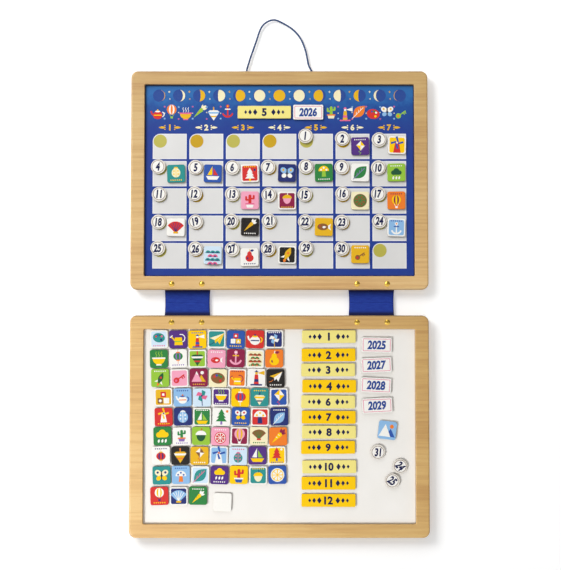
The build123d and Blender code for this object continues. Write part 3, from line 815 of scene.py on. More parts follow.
def acorn(a, b, c):
    nut = bow(0, 0.1, 0.5, 180, 360)
    return [
        (c, ribbon([(0, 0.4), (0.1, 0.85)], 0.1)), (a, [(u, v * 1.4 - 0.04) for u, v in nut]),
        (b, [(u, v * 0.8 + 0.1) for u, v in bow(0, 0.0, 0.6, 0, 180)]),
    ]


def seaShell(a, b, c):
    fan = bow(0, -0.45, 1.1, 35, 145, 10)
    tips = [onCircle(0, -0.45, 1.0, degrees) for degrees in (55, 72, 90, 108, 125)]
    ribs = [(b, ribbon([(0, -0.5), tip], 0.06)) for tip in tips]
    return [(a, [(0.12, -0.55), *fan, (-0.12, -0.55)]), *ribs, (c, roundBox(0, -0.6, 0.55, 0.2, 0.08))]


def anchor(a, b, c):
    fluke = bow(0, 0.0, 0.72, 200, 340) + bow(0, 0.05, 0.55, 340, 200)
    return [
        (a, fluke), (a, roundBox(0, -0.05, 0.16, 1.2, 0.05)), (b, roundBox(0, 0.3, 0.7, 0.14, 0.06)),
        (a, oval(0, 0.66, 0.2)), (c, oval(0, 0.66, 0.09)),
    ]


def rocket(a, b, c):
    fins = [(b, [(s * 0.2, -0.1), (s * 0.58, -0.55), (s * 0.2, -0.45)]) for s in (-1, 1)]
    shapes = [
        ("orange", blade(0, -0.4, 0, -0.92, 0.3)), *fins, (a, blade(0, -0.62, 0, 0.92, 0.2)),
        (c, oval(0, 0.22, 0.14)),
    ]
    return [(ink, spun(outline, -25)) for ink, outline in shapes]


def paintPalette(a, b, c):
    dabs = [("red", 150), ("royal", 110), ("green", 70), (b, 30)]
    spots = [(ink, onCircle(0, 0, 1.0, degrees)) for ink, degrees in dabs]
    dots = [(ink, oval(0.42 * x, 0.32 * y, 0.13)) for ink, (x, y) in spots]
    return [(a, oval(0, 0, 0.78, 0.6, -10)), *dots, (c, oval(0.28, -0.28, 0.14))]


def paperPlane(a, b, c):
    return [
        (c, ribbon([(-0.85, -0.65), (-0.5, -0.55), (-0.3, -0.35)], 0.06)),
        (a, [(-0.75, 0.1), (0.85, 0.65), (0.1, -0.25)]), (b, [(0.85, 0.65), (0.1, -0.25), (0.35, -0.6)]),
        (b, [(-0.2, -0.1), (0.85, 0.65), (-0.15, -0.5)]),
    ]


def pinwheel(a, b, c):
    wing = [(0, 0.2), (0, 0.85), (0.42, 0.62), (0.3, 0.2)]
    wings = [((a, b)[i % 2], spun(wing, 90 * i, 0, 0.2)) for i in range(4)]
    return [(c, ribbon([(0, 0.2), (0.05, -0.9)], 0.09)), *wings, (c, oval(0, 0.2, 0.1))]


def spinningTop(a, b, c):
    return [
        (c, roundBox(0, 0.6, 0.14, 0.5, 0.05)),
        (a, [(-0.7, 0.25), (0, -0.8), (0.7, 0.25), (0.45, 0.45), (-0.45, 0.45)]),
        (b, [(-0.7, 0.25), (-0.56, 0.04), (0.56, 0.04), (0.7, 0.25)]),
        (c, [(-0.38, -0.22), (-0.27, -0.38), (0.27, -0.38), (0.38, -0.22)]),
    ]


def beetle(a, b, c):
    places = ((-0.25, 0.15), (0.25, 0.15), (-0.28, -0.25), (0.28, -0.25))
    return [
        (b, oval(0, 0.42, 0.3, 0.26)), (a, oval(0, -0.08, 0.56, 0.6)),
        (b, roundBox(0, -0.1, 0.07, 1.15, 0.03)), *[(b, oval(x, y, 0.1, count=12)) for x, y in places],
    ]


def butterfly(a, b, c):
    wings = []
    for s in (-1, 1):
        wings.append((a, oval(s * 0.38, 0.28, 0.38, 0.3, s * 35)))
        wings.append((b, oval(s * 0.32, -0.3, 0.28, 0.24, -s * 30)))
        wings.append((c, oval(s * 0.42, 0.32, 0.13, count=14)))
    return [*wings, ("black", oval(0, 0, 0.07, 0.5, count=12))]


def rainCloud(a, b, c):
    puffs = [(a, oval(x, y, r)) for x, y, r in ((-0.38, 0.15, 0.3), (0.0, 0.35, 0.38), (0.4, 0.15, 0.28))]
    drops = [(b, blade(x, -0.3, x - 0.12, -0.75, 0.25)) for x in (-0.35, 0.05, 0.42)]
    return [*puffs, (a, roundBox(0.0, 0.02, 1.1, 0.3, 0.14)), *drops]


def citrusSlice(a, b, c):
    wedges = []
    for i in range(8):
        middle = 22.5 + 45 * i
        tip = onCircle(0, 0, 0.09, middle)
        wedges.append((a, [tip, *bow(0, 0, 0.56, middle - 17, middle + 17, 4)]))
    return [(a, oval(0, 0, 0.75, count=32)), (b, oval(0, 0, 0.65, count=32)), *wedges]


def carrot(a, b, c):
    tips = ((0.38, 0.88), (0.78, 0.78), (0.88, 0.38))
    tops = [(b, blade(0.28, 0.28, x, y, 0.22)) for x, y in tips]
    rings = [(c, ribbon([(0.0 - t, 0.22 - t), (0.16 - t, 0.1 - t)], 0.05)) for t in (0.0, 0.25)]
    return [*tops, (a, [(-0.75, -0.75), (0.08, 0.42), (0.36, 0.4), (0.42, 0.08)]), *rings]


def rollingWaves(a, b, c):
    made = []
    for row, ink in enumerate((a, b, a, b)):
        height = 0.42 - 0.42 * row
        for column in range(-1, 3):
            cx = -0.52 + 0.52 * column + (0.26 if row % 2 else 0.0)
            if abs(cx) < 0.6:
                made.append((ink, bow(cx, height - 0.2, 0.3, 0, 180, 10)))
                made.append((c, bow(cx, height - 0.2, 0.15, 0, 180, 8)))
    return made


def doorKey(a, b, c):
    teeth = [(a, roundBox(0.3 + 0.22 * i, -0.16, 0.12, 0.3, 0.03)) for i in (0, 1)]
    shaft = (a, roundBox(0.2, 0, 0.95, 0.14, 0.04))
    shapes = [shaft, *teeth, (a, oval(-0.4, 0, 0.32)), (c, oval(-0.45, 0, 0.14))]
    return [(ink, spun(outline, 35)) for ink, outline in shapes]


def wateringCan(a, b, c):
    handle = bow(0.32, 0.1, 0.48, -70, 110) + bow(0.32, 0.1, 0.38, 110, -70)
    return [
        (b, handle), (a, ribbon([(-0.2, -0.35), (-0.75, 0.3)], 0.14)),
        (b, ribbon([(-0.9, 0.2), (-0.6, 0.42)], 0.12)),
        (a, [(-0.35, 0.2), (-0.42, -0.65), (0.5, -0.65), (0.42, 0.2)]),
        (c, roundBox(0.04, -0.25, 0.84, 0.12, 0.04)),
    ]


def woodenBlocks(a, b, c):
    return [
        (a, roundBox(-0.34, -0.4, 0.6, 0.6, 0.06)), (b, roundBox(0.34, -0.4, 0.6, 0.6, 0.06)),
        (c, roundBox(0.0, 0.28, 0.6, 0.6, 0.06)), ("white", oval(-0.34, -0.4, 0.16)),
        ("white", [(0.16, -0.55), (0.52, -0.55), (0.34, -0.2)]),
        ("white", roundBox(0, 0.28, 0.26, 0.26, 0.03)),
    ]


def hotSoup(a, b, c):
    steam = [
        (c, ribbon([(x, 0.2), (x + 0.08, 0.4), (x - 0.05, 0.6), (x + 0.04, 0.8)], 0.07))
        for x in (-0.3, 0.0, 0.3)
    ]
    return [
        *steam, (a, bow(0, 0.05, 0.68, 180, 360)), (b, roundBox(0, 0.08, 1.5, 0.16, 0.07)),
        (b, roundBox(0, -0.66, 0.6, 0.14, 0.05)),
    ]


pictures = (
    kite, sailboat, toadstool, cactus, airBalloon, fish, pear, mountains, lighthouse, teapot, paperLantern,
    windmill, pineTree, featherLeaf, acorn, seaShell, anchor, rocket, paintPalette, paperPlane, pinwheel,
    spinningTop, beetle, butterfly, rainCloud, citrusSlice, carrot, rollingWaves, doorKey, wateringCan,
    woodenBlocks, hotSoup,
)

# Colour schemes: ground, then the main, second and accent inks of the picture
schemes = (
    ("purple", "yellow", "white", "lime"), ("white", "red", "navy", "gold"),
    ("lime", "forest", "white", "red"), ("royal", "white", "yellow", "red"),
    ("sky", "white", "royal", "orange"), ("cream", "brown", "green", "red"),
    ("green", "yellow", "white", "lime"), ("yellow", "red", "royal", "white"),
    ("black", "gold", "white", "orange"), ("pink", "red", "white", "rose"),
    ("red", "white", "yellow", "navy"), ("ice", "teal", "rose", "navy"),
    ("orange", "yellow", "maroon", "white"), ("white", "green", "violet", "orange"),
    ("teal", "cream", "yellow", "navy"), ("gold", "brown", "white", "red"),
    ("maroon", "pink", "gold", "white"), ("navy", "sky", "white", "gold"),
)

tileLook = {
    "flat": 11.8 * mm,  # half the width of the flat front, of which the others are shares
    "corner": 0.187, "margin": 1.76, "picture": 1.04, "besideBeads": 0.9, "moveOver": 0.16,
    "beads": 6, "beadGap": 0.24, "beadsOut": 0.76, "beadSize": 0.075,
}


def coatTile(printed, seat, ink):
    size = tileLook["flat"]
    layRings(printed, seat, boxCap(2 * size, 2 * size, tileLook["corner"] * size), ink)


def printTile(printed, seat, number):
    look = tileLook
    size = look["flat"]
    # steps that share no factor with the count go through all the schemes and all the pictures
    ground, main, second, accent = schemes[(number * 7 + number // len(schemes)) % len(schemes)]
    drawing = pictures[(number * 11 + number // len(pictures) * 5) % len(pictures)]
    framed = number % 3 == 1  # every third has a white margin
    coatTile(printed, seat, "white" if framed else ground)
    if framed:
        lay(printed, seat, roundBox(0, 0, look["margin"], look["margin"], look["corner"]), ground, 1, size)
    beadSide = {0: 1, 2: -1}.get(number % 4, 0)  # beads along the top edge, the bottom edge or neither
    if beadSide:
        for i in range(look["beads"]):
            across = (i - (look["beads"] - 1) / 2) * look["beadGap"]
            bead = oval(across, look["beadsOut"] * beadSide, look["beadSize"], count=10)
            lay(printed, seat, bead, second, 2, size)
    reach = size * look["besideBeads" if beadSide else "picture"]
    shift = (0.0, -look["moveOver"] * beadSide * size)
    for layer, (ink, outline) in enumerate(drawing(main, second, accent)):
        lay(printed, seat, outline, ink, 2 + layer, reach, shift)


discLook = {
    "flat": 9.6 * mm, "ring": 8.4 * mm, "inside": 7.7 * mm, "slip": 0.45 * mm, "slipTurn": 2.4,
    "numeral": 11.4 * mm, "squeeze": 0.7, "slant": 0.1,
    "crooked": {14: 7.0, 19: 16.0, 21: 6.0, 27: 14.0},  # days and their turn, the rest are upright
    "loose": (("31", 0.0), ("24", -50.0), ("25", -40.0)),
}


def printDisc(printed, seat, body, turn=0.0):
    # the print is never quite in the middle of the disc
    flat = {**seat, "turn": math.radians(turn)}
    away = int(body) * discLook["slipTurn"]
    slip = (discLook["slip"] * math.cos(away), discLook["slip"] * math.sin(away))
    layRings(printed, flat, discCap(discLook["flat"]), "rim")
    lay(printed, flat, oval(0, 0, discLook["ring"], count=40), "ringTan", 1, 1.0, slip)
    lay(printed, flat, oval(0, 0, discLook["inside"], count=40), "white", 2, 1.0, slip)
    layNumeral(
        printed, flat, body, discLook["numeral"], "pitch", 3, discLook["squeeze"], discLook["slant"], slip,
    )


monthLook = {
    "width": 72.2 * mm, "height": 16.5 * mm, "corner": 1.2 * mm, "numeral": 10.9 * mm,
    "diamonds": ((12.5, 3.0, 4.4), (19.5, 2.5, 3.6), (25.5, 2.0, 2.8)),  # place, half width and height, mm
    "shown": 5, "shownGround": "paleYellow", "grounds": ("paleYellow", "yellow") * 5 + ("yellow",),
}


def printMonth(printed, seat, number, ground):
    layRings(printed, seat, boxCap(monthLook["width"], monthLook["height"], monthLook["corner"]), ground)
    layNumeral(printed, seat, str(number), monthLook["numeral"], "pitch", 2)
    for side in (-1, 1):  # a row of diamonds on each side of the number
        for place, wide, tall in monthLook["diamonds"]:
            diamond = [(wide, 0), (0, tall), (-wide, 0), (0, -tall)]
            lay(printed, seat, diamond, "pitch", 1, mm, (side * place * mm, 0.0))


yearLook = {
    "width": 40.2 * mm, "height": 19.5 * mm, "corner": 1.2 * mm, "margin": 1.3 * mm, "rule": 0.7 * mm,
    "numeral": 12.2 * mm, "squeeze": 0.8, "slant": 0.08,
    "shown": "2026", "stored": ("2025", "2027", "2028", "2029"),
}


def printYear(printed, seat, body):
    wide, tall, corner = yearLook["width"], yearLook["height"], yearLook["corner"]
    layRings(printed, seat, boxCap(wide, tall, corner), "white")
    ruleAt, ruleTo = 2 * yearLook["margin"], 2 * (yearLook["margin"] + yearLook["rule"])
    lay(printed, seat, roundBox(0, 0, wide - ruleAt, tall - ruleAt, corner), "rose", 1)
    lay(printed, seat, roundBox(0, 0, wide - ruleTo, tall - ruleTo, corner / 2), "white", 2)
    layNumeral(
        printed, seat, body, yearLook["numeral"], "denim", 4, yearLook["squeeze"], yearLook["slant"],
    )


# Print every magnet; numbers run on through the nodes in the order of their names
storedMonths = [number for number in range(1, 13) if number != monthLook["shown"]]
tileNumber = 0
dayNumber = 1
for name in sorted(magnetNames):
    printed = newPrint()
    seats = magnetSeats(name)
    if name.startswith("day_discs"):
        for seat in seats:
            printDisc(printed, seat, str(dayNumber), discLook["crooked"].get(dayNumber, 0.0))
            dayNumber += 1
    elif name.startswith("loose_disc"):
        printDisc(printed, seats[0], *discLook["loose"][int(name[-1]) - 1])
    elif name.startswith("header_month"):
        printMonth(printed, seats[0], monthLook["shown"], monthLook["shownGround"])
    elif name.startswith("month_plate"):
        index = int(name[-2:]) - 1
        printMonth(printed, seats[0], storedMonths[index], monthLook["grounds"][index])
    elif name.startswith("header_year"):
        printYear(printed, seats[0], yearLook["shown"])
    elif name.startswith("year_plate"):
        printYear(printed, seats[0], yearLook["stored"][int(name[-1]) - 1])
    else:
        blank = name.endswith("row_9")
        for seat in seats[:-1] if blank else seats:
            printTile(printed, seat, tileNumber)
            tileNumber += 1
        if blank:  # the last one of the bottom row is a plain white tile
            coatTile(printed, seats[-1], "white")
    finishPrint(printed, name + "_print", name)
print("magnets are printed:", tileNumber, "tiles and", dayNumber - 1, "days")


# Calendar sheet: cells and spots repeat on a grid of nodes, the heading is laid like the other prints

def gridTree():
    tree = bpy.data.node_groups.new("repeatOnGrid", "GeometryNodeTree")
    ports = tree.interface
    ports.new_socket("Geometry", in_out="OUTPUT", socket_type="NodeSocketGeometry")
    for label, kind in (
        ("Piece", "NodeSocketObject"), ("Across", "NodeSocketInt"), ("Down", "NodeSocketInt"),
        ("Width", "NodeSocketFloat"), ("Height", "NodeSocketFloat"), ("Centre", "NodeSocketVector"),
        ("Ink", "NodeSocketMaterial"),
    ):
        ports.new_socket(label, in_out="INPUT", socket_type=kind)
    given = addNode(tree, "NodeGroupInput").outputs
    points = addNode(tree, "GeometryNodeMeshGrid", {
        "Size X": given["Width"], "Size Y": given["Height"],
        "Vertices X": given["Across"], "Vertices Y": given["Down"],
    })
    upright = addNode(tree, "GeometryNodeTransform", {
        "Geometry": points.outputs["Mesh"], "Translation": given["Centre"],
        "Rotation": (math.pi / 2, 0, 0),
    })
    piece = addNode(tree, "GeometryNodeObjectInfo", {"Object": given["Piece"]})
    copies = addNode(tree, "GeometryNodeInstanceOnPoints", {
        "Points": upright.outputs["Geometry"], "Instance": piece.outputs["Geometry"],
    })
    real = addNode(tree, "GeometryNodeRealizeInstances", {"Geometry": copies.outputs["Instances"]})
    inked = addNode(tree, "GeometryNodeSetMaterial", {
        "Geometry": real.outputs["Geometry"], "Material": given["Ink"],
    })
    addNode(tree, "NodeGroupOutput", {"Geometry": inked.outputs["Geometry"]})
    return tree


repeatOnGrid = gridTree()


def repeated(name, outline, layer, count, gap, middleX, middleZ, material):
    # copies of an outline in rows of a few, one row for each week
    printed = newPrint()
    lay(printed, {"x": 0.0, "y": 0.0, "z": 0.0, "turn": 0.0}, outline, "white", layer)
    single = meshObject(name + "One", printed["points"], printed["faces"])
    maker = meshObject(name + "Maker", [], [])
    modifier = maker.modifiers.new("grid", "NODES")
    modifier.node_group = repeatOnGrid
    items = repeatOnGrid.interface.items_tree
    sockets = {item.name: item.identifier for item in items if item.in_out == "INPUT"}
    for label, value in (
        ("Piece", single), ("Across", count), ("Down", boardPlan["down"]), ("Width", gap * (count - 1)),
        ("Height", pitchZ * (boardPlan["down"] - 1)), ("Centre", (middleX, panelFace, middleZ)),
        ("Ink", material),
    ):
        modifier[sockets[label]] = value
    mesh = plainMesh(maker, name)
    bpy.data.objects.remove(maker)
    bpy.data.objects.remove(single)
    piece = linked(name, mesh)
    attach(piece, "calendar_board")
    return piece


cellLook = {
    "corner": 10.4 * mm, "spot": 9.1 * mm, "spotIn": 10.2 * mm, "deeper": 1.0 * mm, "margin": 1.1 * mm,
}


def cellOutline(margin):
    # a cell whose upper left corner is rounded about the spot
    w, h, r = cellWide / 2 - margin, cellHigh / 2 - margin, cellLook["corner"] - margin
    foot = -h - cellLook["deeper"]
    return [(w, h), *bow(-w + r, h - r, r, 90, 180, 12), (-w, foot), (w, foot)]


cellWhite = enamel("paleEnamel", "#e4e4e6", "#ebebed", 0.42)
cellGrey = enamel("greyEnamel", "#d8d7d5", "#dfdedc", 0.42)
spotPale = enamel("paleYellowEnamel", "#b6ad49", "#beb655", 0.42)
spotGold = enamel("goldEnamel", "#c29806", "#caa30c", 0.42)
gridMiddleX = gridLeft + pitchX * (boardPlan["across"] - 1) / 2 + cellWide / 2
gridMiddleZ = gridTop - pitchZ * (boardPlan["down"] - 1) / 2 - cellHigh / 2
for name, margin, layer, material in (
    ("cellMargins", 0.0, 0, cellWhite), ("calendarCells", cellLook["margin"], 1, cellGrey),
):
    outline = cellOutline(margin)
    repeated(name, outline, layer, boardPlan["across"], pitchX, gridMiddleX, gridMiddleZ, material)
spotX = gridLeft + cellLook["spotIn"]
spotZ = gridTop - cellLook["spotIn"] - pitchZ * (boardPlan["down"] - 1) / 2
spotOutline = oval(0, 0, cellLook["spot"], count=40)
for name, first, material in (("paleSpots", 0, spotPale), ("goldSpots", 1, spotGold)):
    count = len(range(first, boardPlan["across"], 2))
    repeated(name, spotOutline, 2, count, 2 * pitchX, spotX + pitchX * (first + count - 1), spotZ, material)

headingLook = {
    "moonDrop": 14.6 * mm, "moonSize": 8.6 * mm, "moonLit": 0.94, "moons": 13, "moonSpan": 330 * mm,
    "moonStars": ((0.5, 5.2, 1.9), (0.53, -4.6, 1.4)),  # share of a step, mm up, mm in radius
    "iconDrop": 38.4 * mm, "iconSway": 1.6 * mm, "iconSize": 11.4 * mm,
    "iconFrom": 71 * mm, "iconTo": 167 * mm, "icons": 6, "iconStep": 5,
    "firstIcon": {-1: 16, 1: 3}, "firstInks": {-1: 0, 1: 2},  # on the left and on the right
    "iconInks": (
        ("red", "white", "yellow"), ("white", "sky", "gold"), ("lime", "cream", "orange"),
        ("gold", "rose", "white"), ("orange", "white", "lime"),
    ),
    "iconStars": ((8.0, "sky", 1.9), (-8.5, "rose", 1.6), (0.5, "cream", 1.2)),  # mm up, ink, mm in radius
    "starBeside": 9.6 * mm,
    "weekdayDrop": 58.6 * mm, "weekdaySize": 8.4 * mm, "flourishFrom": 5.4 * mm, "flourishTo": 15.5 * mm,
    "flourishSwell": 0.16, "dotBeside": 1.4 * mm, "dotUp": 2.5 * mm, "dotSize": 0.9 * mm,
}


def moonShape(phase):
    # the lit part of a disc, from new at 0 through full at 0.5 to new at 1
    bulge = math.cos(2 * math.pi * phase)
    edge = bow(0, 0, 1, -90, 90, 18)
    inner = [(u * bulge, v) for u, v in reversed(edge[1:-1])]
    return [(u if phase < 0.5 else -u, v) for u, v in edge + inner]


def printMoons(printed, seat):
    look = headingLook
    whole = oval(0, 0, 1.0, count=36)
    step = look["moonSpan"] / (look["moons"] - 1)
    for i in range(look["moons"]):
        spot = (-look["moonSpan"] / 2 + step * i, -look["moonDrop"])
        lay(printed, seat, whole, "midnight", 0, look["moonSize"], spot)
        isFull = 2 * i == look["moons"] - 1
        lit = whole if isFull else moonShape((i + 1) / (look["moons"] + 1))
        lay(printed, seat, lit, ("gold", "cream")[i % 2], 1, look["moonSize"] * look["moonLit"], spot)
        if i < look["moons"] - 1:  # two small stars between neighbours
            for share, up, size in look["moonStars"]:
                place = (spot[0] + step * share, spot[1] + up * mm)
                lay(printed, seat, burst(0, 0, 1, 0.36, 4), ("cream", "gold")[i % 2], 0, size * mm, place)


def printIcons(printed, seat, side):
    look = headingLook
    for i in range(look["icons"]):
        sway = 1 if i % 2 else -1
        along = look["iconFrom"] + (look["iconTo"] - look["iconFrom"]) * i / (look["icons"] - 1)
        place = (side * along, -look["iconDrop"] - look["iconSway"] * sway)
        drawing = pictures[(look["firstIcon"][side] + i * look["iconStep"]) % len(pictures)]
        trio = look["iconInks"][(look["firstInks"][side] + i) % len(look["iconInks"])]
        for layer, (ink, outline) in enumerate(drawing(*trio)):
            lay(printed, seat, outline, ink, layer, look["iconSize"], place)
        if i < look["icons"] - 1:  # small stars in the gaps
            for up, ink, size in look["iconStars"]:
                star = (side * (along + look["starBeside"]), -look["iconDrop"] + up * sway * mm)
                lay(printed, seat, burst(0, 0, 1, 0.4, 5), ink, 0, size * mm, star)


def printWeekday(printed, seat, i):
    # a number between two flourishes
    look = headingLook
    place = (gridLeft + pitchX * i + cellWide / 2, -look["weekdayDrop"])
    ink = ("gold", "cream")[i % 2]
    layNumeral(printed, seat, str(i + 1), look["weekdaySize"], ink, 0, 1.0, 0.0, place)
    for side in (-1, 1):
        near, far = side * look["flourishFrom"], side * look["flourishTo"]
        lay(printed, seat, blade(near, 0, far, 0, look["flourishSwell"]), ink, 0, 1.0, place)
        for up in (-look["dotUp"], look["dotUp"]):
            dot = oval(near + side * look["dotBeside"], up, look["dotSize"], count=12)
            lay(printed, seat, dot, ink, 0, 1.0, place)


heading = newPrint()
headingSeat = {"x": 0.0, "y": panelFace, "z": windowTop, "turn": 0.0}
printMoons(heading, headingSeat)
for side in (-1, 1):
    printIcons(heading, headingSeat, side)
for i in range(boardPlan["across"]):
    printWeekday(heading, headingSeat, i)
finishPrint(heading, "calendar_heading", "calendar_board")
print("calendar sheet is printed")


# Straps: each is one tape of cloth in two pieces that meet at mid-span

strapLook = {
    "centre": 126.0 * mm, "width": 62.4 * mm, "thickness": 1.2 * mm, "tail": 13.9 * mm, "waist": 0.8 * mm,
    "columns": 30, "rows": 40, "bend": 6.0 * mm, "selvedge": 0.25 * mm, "selvedgeFrom": 0.94,
}
midSpan = (upperBottom + lowerTop) / 2
halfSpan = (upperBottom - lowerTop) / 2


def strapHalf(name, side, fromZ, toZ):
    look = strapLook
    points, faces, flat = [], [], []
    columns, rows = look["columns"], look["rows"]
    for layer in (0, 1):
        for j in range(rows + 1):
            z = fromZ + (toZ - fromZ) * j / rows
            inside = max(0.0, 1 - ((z - midSpan) / halfSpan) ** 2)
            wide = look["width"] / 2 - look["waist"] * inside
            for i in range(columns + 1):
                across = -1 + 2 * i / columns
                nearEdge = max(0.0, (abs(across) - look["selvedgeFrom"]) / (1 - look["selvedgeFrom"]))
                thin = look["selvedge"] * nearEdge ** 2
                y = railBack + (thin if layer == 0 else look["thickness"] - thin)
                points.append((side * look["centre"] + across * wide, y, z))
                flat.append((across * look["width"] / 2 / mm, (z - toZ) / mm))
    size = (rows + 1) * (columns + 1)

    def at(layer, j, i):
        return layer * size + j * (columns + 1) + i

    for j in range(rows):
        for i in range(columns):
            for layer in (0, 1):
                corners = ((j, i), (j + 1, i), (j + 1, i + 1), (j, i + 1))
                faces.append(tuple(at(layer, *corner) for corner in corners))
    for j in range(rows):
        faces.append((at(0, j, 0), at(1, j, 0), at(1, j + 1, 0), at(0, j + 1, 0)))
        faces.append((at(0, j, columns), at(0, j + 1, columns), at(1, j + 1, columns), at(1, j, columns)))
    for i in range(columns):
        faces.append((at(0, 0, i), at(0, 0, i + 1), at(1, 0, i + 1), at(1, 0, i)))
        faces.append((at(0, rows, i), at(1, rows, i), at(1, rows, i + 1), at(0, rows, i + 1)))
    piece = meshObject(name, points, faces)
    shape = bmesh.new()
    shape.from_mesh(piece.data)
    bmesh.ops.recalc_face_normals(shape, faces=shape.faces)
    shape.to_mesh(piece.data)
    shape.free()
    layerUv = piece.data.uv_layers.new(name="cloth")
    for loop in piece.data.loops:
        layerUv.data[loop.index].uv = flat[loop.vertex_index]
    piece.data.shade_smooth()
    piece.data.materials.append(strapCloth)
    return piece


for word, side in (("left", -1), ("right", 1)):
    upper = strapHalf(word + "StrapUpper", side, upperBottom + strapLook["tail"], midSpan)
    lower = strapHalf(word + "StrapLower", side, lowerTop - strapLook["tail"], midSpan)
    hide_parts(word + "_strap_upper_tail", word + "_strap_span")
    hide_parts(word + "_strap_lower_tail")
    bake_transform(upper)
    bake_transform(lower)
print("straps are hung")


# Hanging cord with a knot at each end

cordLook = {
    "diameter": 2.4 * mm, "length": 204.6 * mm,
    "knotTurn": 0.56 * mm, "knotCord": 2.1 * mm, "knotDrop": 2.4 * mm, "knotBack": 0.6 * mm,
    "knotWide": 0.95, "knotTall": 0.9, "knotPoints": 72,
    "points": [  # across and up from the top edge of the frame, in mm
        (-46.4, -8.5), (-46.4, 0.0), (-42.4, 15.0), (-36.8, 31.5), (-31.5, 46.0), (-27.4, 60.5),
        (-20.8, 70.6), (-7.6, 76.3), (4.6, 70.4), (18.0, 62.6), (29.0, 50.5), (36.0, 34.0),
        (38.9, 19.0), (40.6, 9.5), (46.6, 1.0), (46.6, -8.5),
    ],
}


def cordRoute(name, kind, places, thick, smoothness):
    route = bpy.data.curves.new(name, "CURVE")
    route.dimensions = "3D"
    route.bevel_depth = thick / 2
    route.bevel_resolution = smoothness
    line = route.splines.new(kind)
    line.points.add(len(places) - 1)
    for point, place in zip(line.points, places):
        point.co = (*place, 1.0)
    return route, line


def cordKnot(name, x, z):
    # an overhand knot drawn tight
    look = cordLook
    angles = [2 * math.pi * i / look["knotPoints"] for i in range(look["knotPoints"])]
    route, line = cordRoute(name, "POLY", [(
        x + look["knotTurn"] * (math.sin(t) + 2 * math.sin(2 * t)) * look["knotWide"],
        look["knotBack"] - look["knotTurn"] * math.sin(3 * t),
        z + look["knotTurn"] * (math.cos(t) - 2 * math.cos(2 * t)) * look["knotTall"],
    ) for t in angles], look["knotCord"], 3)
    line.use_cyclic_u = True
    holder = linked(name, route)
    mesh = plainMesh(holder, name)
    bpy.data.objects.remove(holder)
    knot = linked(name, mesh)
    mesh.shade_smooth()
    coat(mesh, cordBraid)
    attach(knot, "calendar_board")
    return knot


def hangingCord():
    places = [(across * mm, 0.0, upperTop + up * mm) for across, up in cordLook["points"]]
    route, line = cordRoute("hangingCord", "NURBS", places, cordLook["diameter"], 4)
    route.resolution_u = 8
    route.use_fill_caps = True
    line.order_u = 3
    line.use_endpoint_u = True
    route.materials.append(cordBraid)
    cord = linked("hangingCord", route)
    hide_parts("hanging_cord")
    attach(cord, "calendar_board")
    knots = [
        cordKnot(word + "CordKnot", end[0], end[2] - cordLook["knotDrop"])
        for word, end in (("left", places[0]), ("right", places[-1]))
    ]


hangingCord()
print("cord is hung")


# Wall, floor, light and camera

stageLook = {"paint": "#f3f3f3", "glow": 0.28, "wallBack": 1.2 * mm, "floorBelow": 0.25, "reach": 4.0}


def paleStage():
    # matt white paint; seen directly or in a mirror it is lit a little more, and from behind it is clear
    material = bpy.data.materials.new("mattWhitePaint")
    material.use_nodes = True
    tree = material.node_tree
    tree.nodes.clear()
    ray = addNode(tree, "ShaderNodeLightPath").outputs
    mirrored = addNode(tree, "ShaderNodeMath", {
        0: ray["Is Glossy Ray"], 1: ray["Is Transmission Ray"],
    }, operation="ADD")
    seen = addNode(tree, "ShaderNodeMath", {
        0: ray["Is Camera Ray"], 1: mirrored,
    }, operation="ADD", use_clamp=True)
    glow = addNode(tree, "ShaderNodeMath", {0: seen, 1: stageLook["glow"]}, operation="MULTIPLY")
    lit = addNode(tree, "ShaderNodeAddShader", {
        0: addNode(tree, "ShaderNodeBsdfDiffuse", {"Color": linear(stageLook["paint"])}),
        1: addNode(tree, "ShaderNodeEmission", {"Color": linear("#ffffff"), "Strength": glow}),
    })
    either = addNode(tree, "ShaderNodeMixShader", {
        "Fac": addNode(tree, "ShaderNodeNewGeometry").outputs["Backfacing"],
        1: lit, 2: addNode(tree, "ShaderNodeBsdfTransparent"),
    })
    addNode(tree, "ShaderNodeOutputMaterial", {"Surface": either})
    return material


paint = paleStage()
reach = stageLook["reach"]
wallY = cadBox[1][1] + stageLook["wallBack"]
floorZ = cadBox[0][2] - stageLook["floorBelow"]
wall = meshObject("wall", [
    (-reach, wallY, floorZ), (reach, wallY, floorZ), (reach, wallY, reach), (-reach, wallY, reach),
], [(0, 1, 2, 3)])
floor = meshObject("floor", [
    (-reach, wallY, floorZ), (-reach, -reach, floorZ), (reach, -reach, floorZ), (reach, wallY, floorZ),
], [(0, 1, 2, 3)])
for plane in (wall, floor):
    plane.data.materials.append(paint)
    plane.visible_shadow = False
    plane.visible_diffuse = False

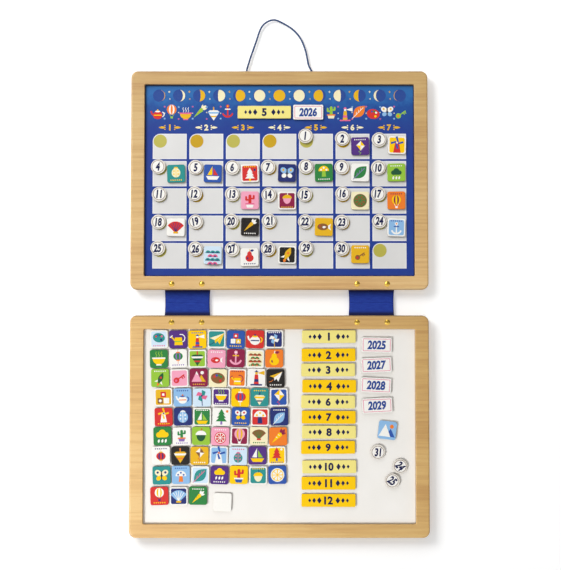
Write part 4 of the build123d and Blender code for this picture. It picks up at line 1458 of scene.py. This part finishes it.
lights = {
    "key": {"place": (-1.3, -1.7, 0.75), "size": 1.0, "power": 36.5, "lowerBoard": "EXCLUDE"},
    "low": {"place": (-1.1, -1.4, -1.3), "size": 0.45, "power": 25.2, "lowerBoard": "INCLUDE"},
    "fill": {"place": (-0.3, -1.0, 1.5), "size": 1.2, "power": 8.0, "lowerBoard": None},
    "behind": {"place": (0.6, 1.5, 0.3), "size": 1.2, "power": 14.0, "lowerBoard": None},
}
lowerBoard = bpy.data.collections.new("lowerBoard")
lowerWords = ("lower_", "storage_", "month_plate", "year_plate", "loose_")
for piece in scene.objects:
    if piece.type == "MESH" and piece.name.startswith(lowerWords):
        lowerBoard.objects.link(piece)
boardsMiddle = Vector((0.0, -8.0 * mm, (upperTop + lowerBottom) / 2))  # where the lamps point
for name, look in lights.items():
    lamp = bpy.data.lights.new(name, "AREA")
    lamp.size = look["size"]
    lamp.energy = look["power"]
    holder = linked(name, lamp)
    holder.location = look["place"]
    holder.rotation_euler = (boardsMiddle - Vector(look["place"])).to_track_quat("-Z", "Y").to_euler()
    if look["lowerBoard"]:  # each board has a lamp of its own, the lower one's is below it
        group = bpy.data.collections.new(name + "Lit")
        group.children.link(lowerBoard)
        holder.light_linking.receiver_collection = group
        group.collection_children[0].light_linking.link_state = look["lowerBoard"]

worldLook = {"ambient": 0.42, "seen": 1.0, "lean": 0.5, "from": (-0.85, -0.5, 0.1)}
world = bpy.data.worlds.new("softRoom")
world.use_nodes = True
worldTree = world.node_tree
worldTree.nodes.clear()
# the room is brighter on one side, so that edges and rivets turned away from it are darker
leaning = addNode(worldTree, "ShaderNodeVectorMath", {
    0: addNode(worldTree, "ShaderNodeTexCoord").outputs["Generated"], 1: worldLook["from"],
}, operation="DOT_PRODUCT").outputs["Value"]
room = addNode(worldTree, "ShaderNodeMath", {
    0: leaning, 1: worldLook["lean"] * worldLook["ambient"], 2: worldLook["ambient"],
}, operation="MULTIPLY_ADD")
strength = addNode(worldTree, "ShaderNodeMapRange", {
    "Value": addNode(worldTree, "ShaderNodeLightPath").outputs["Is Camera Ray"],
    "To Min": room, "To Max": worldLook["seen"],
})
sky = addNode(worldTree, "ShaderNodeBackground", {"Color": linear("#ffffff"), "Strength": strength})
addNode(worldTree, "ShaderNodeOutputWorld", {"Surface": sky})
scene.world = world

cameraLook = {"place": (0.0015, -1.5, -0.4248), "rise": 2.313, "lens": 69.06}
camera = bpy.data.cameras.new("camera")
camera.sensor_fit = "VERTICAL"
camera.sensor_height = 36.0
camera.lens = cameraLook["lens"]
cameraHolder = linked("camera", camera)
cameraHolder.location = cameraLook["place"]
cameraHolder.rotation_euler = (math.radians(90 + cameraLook["rise"]), 0.0, 0.0)
scene.camera = cameraHolder
print("stage, light and camera are set")
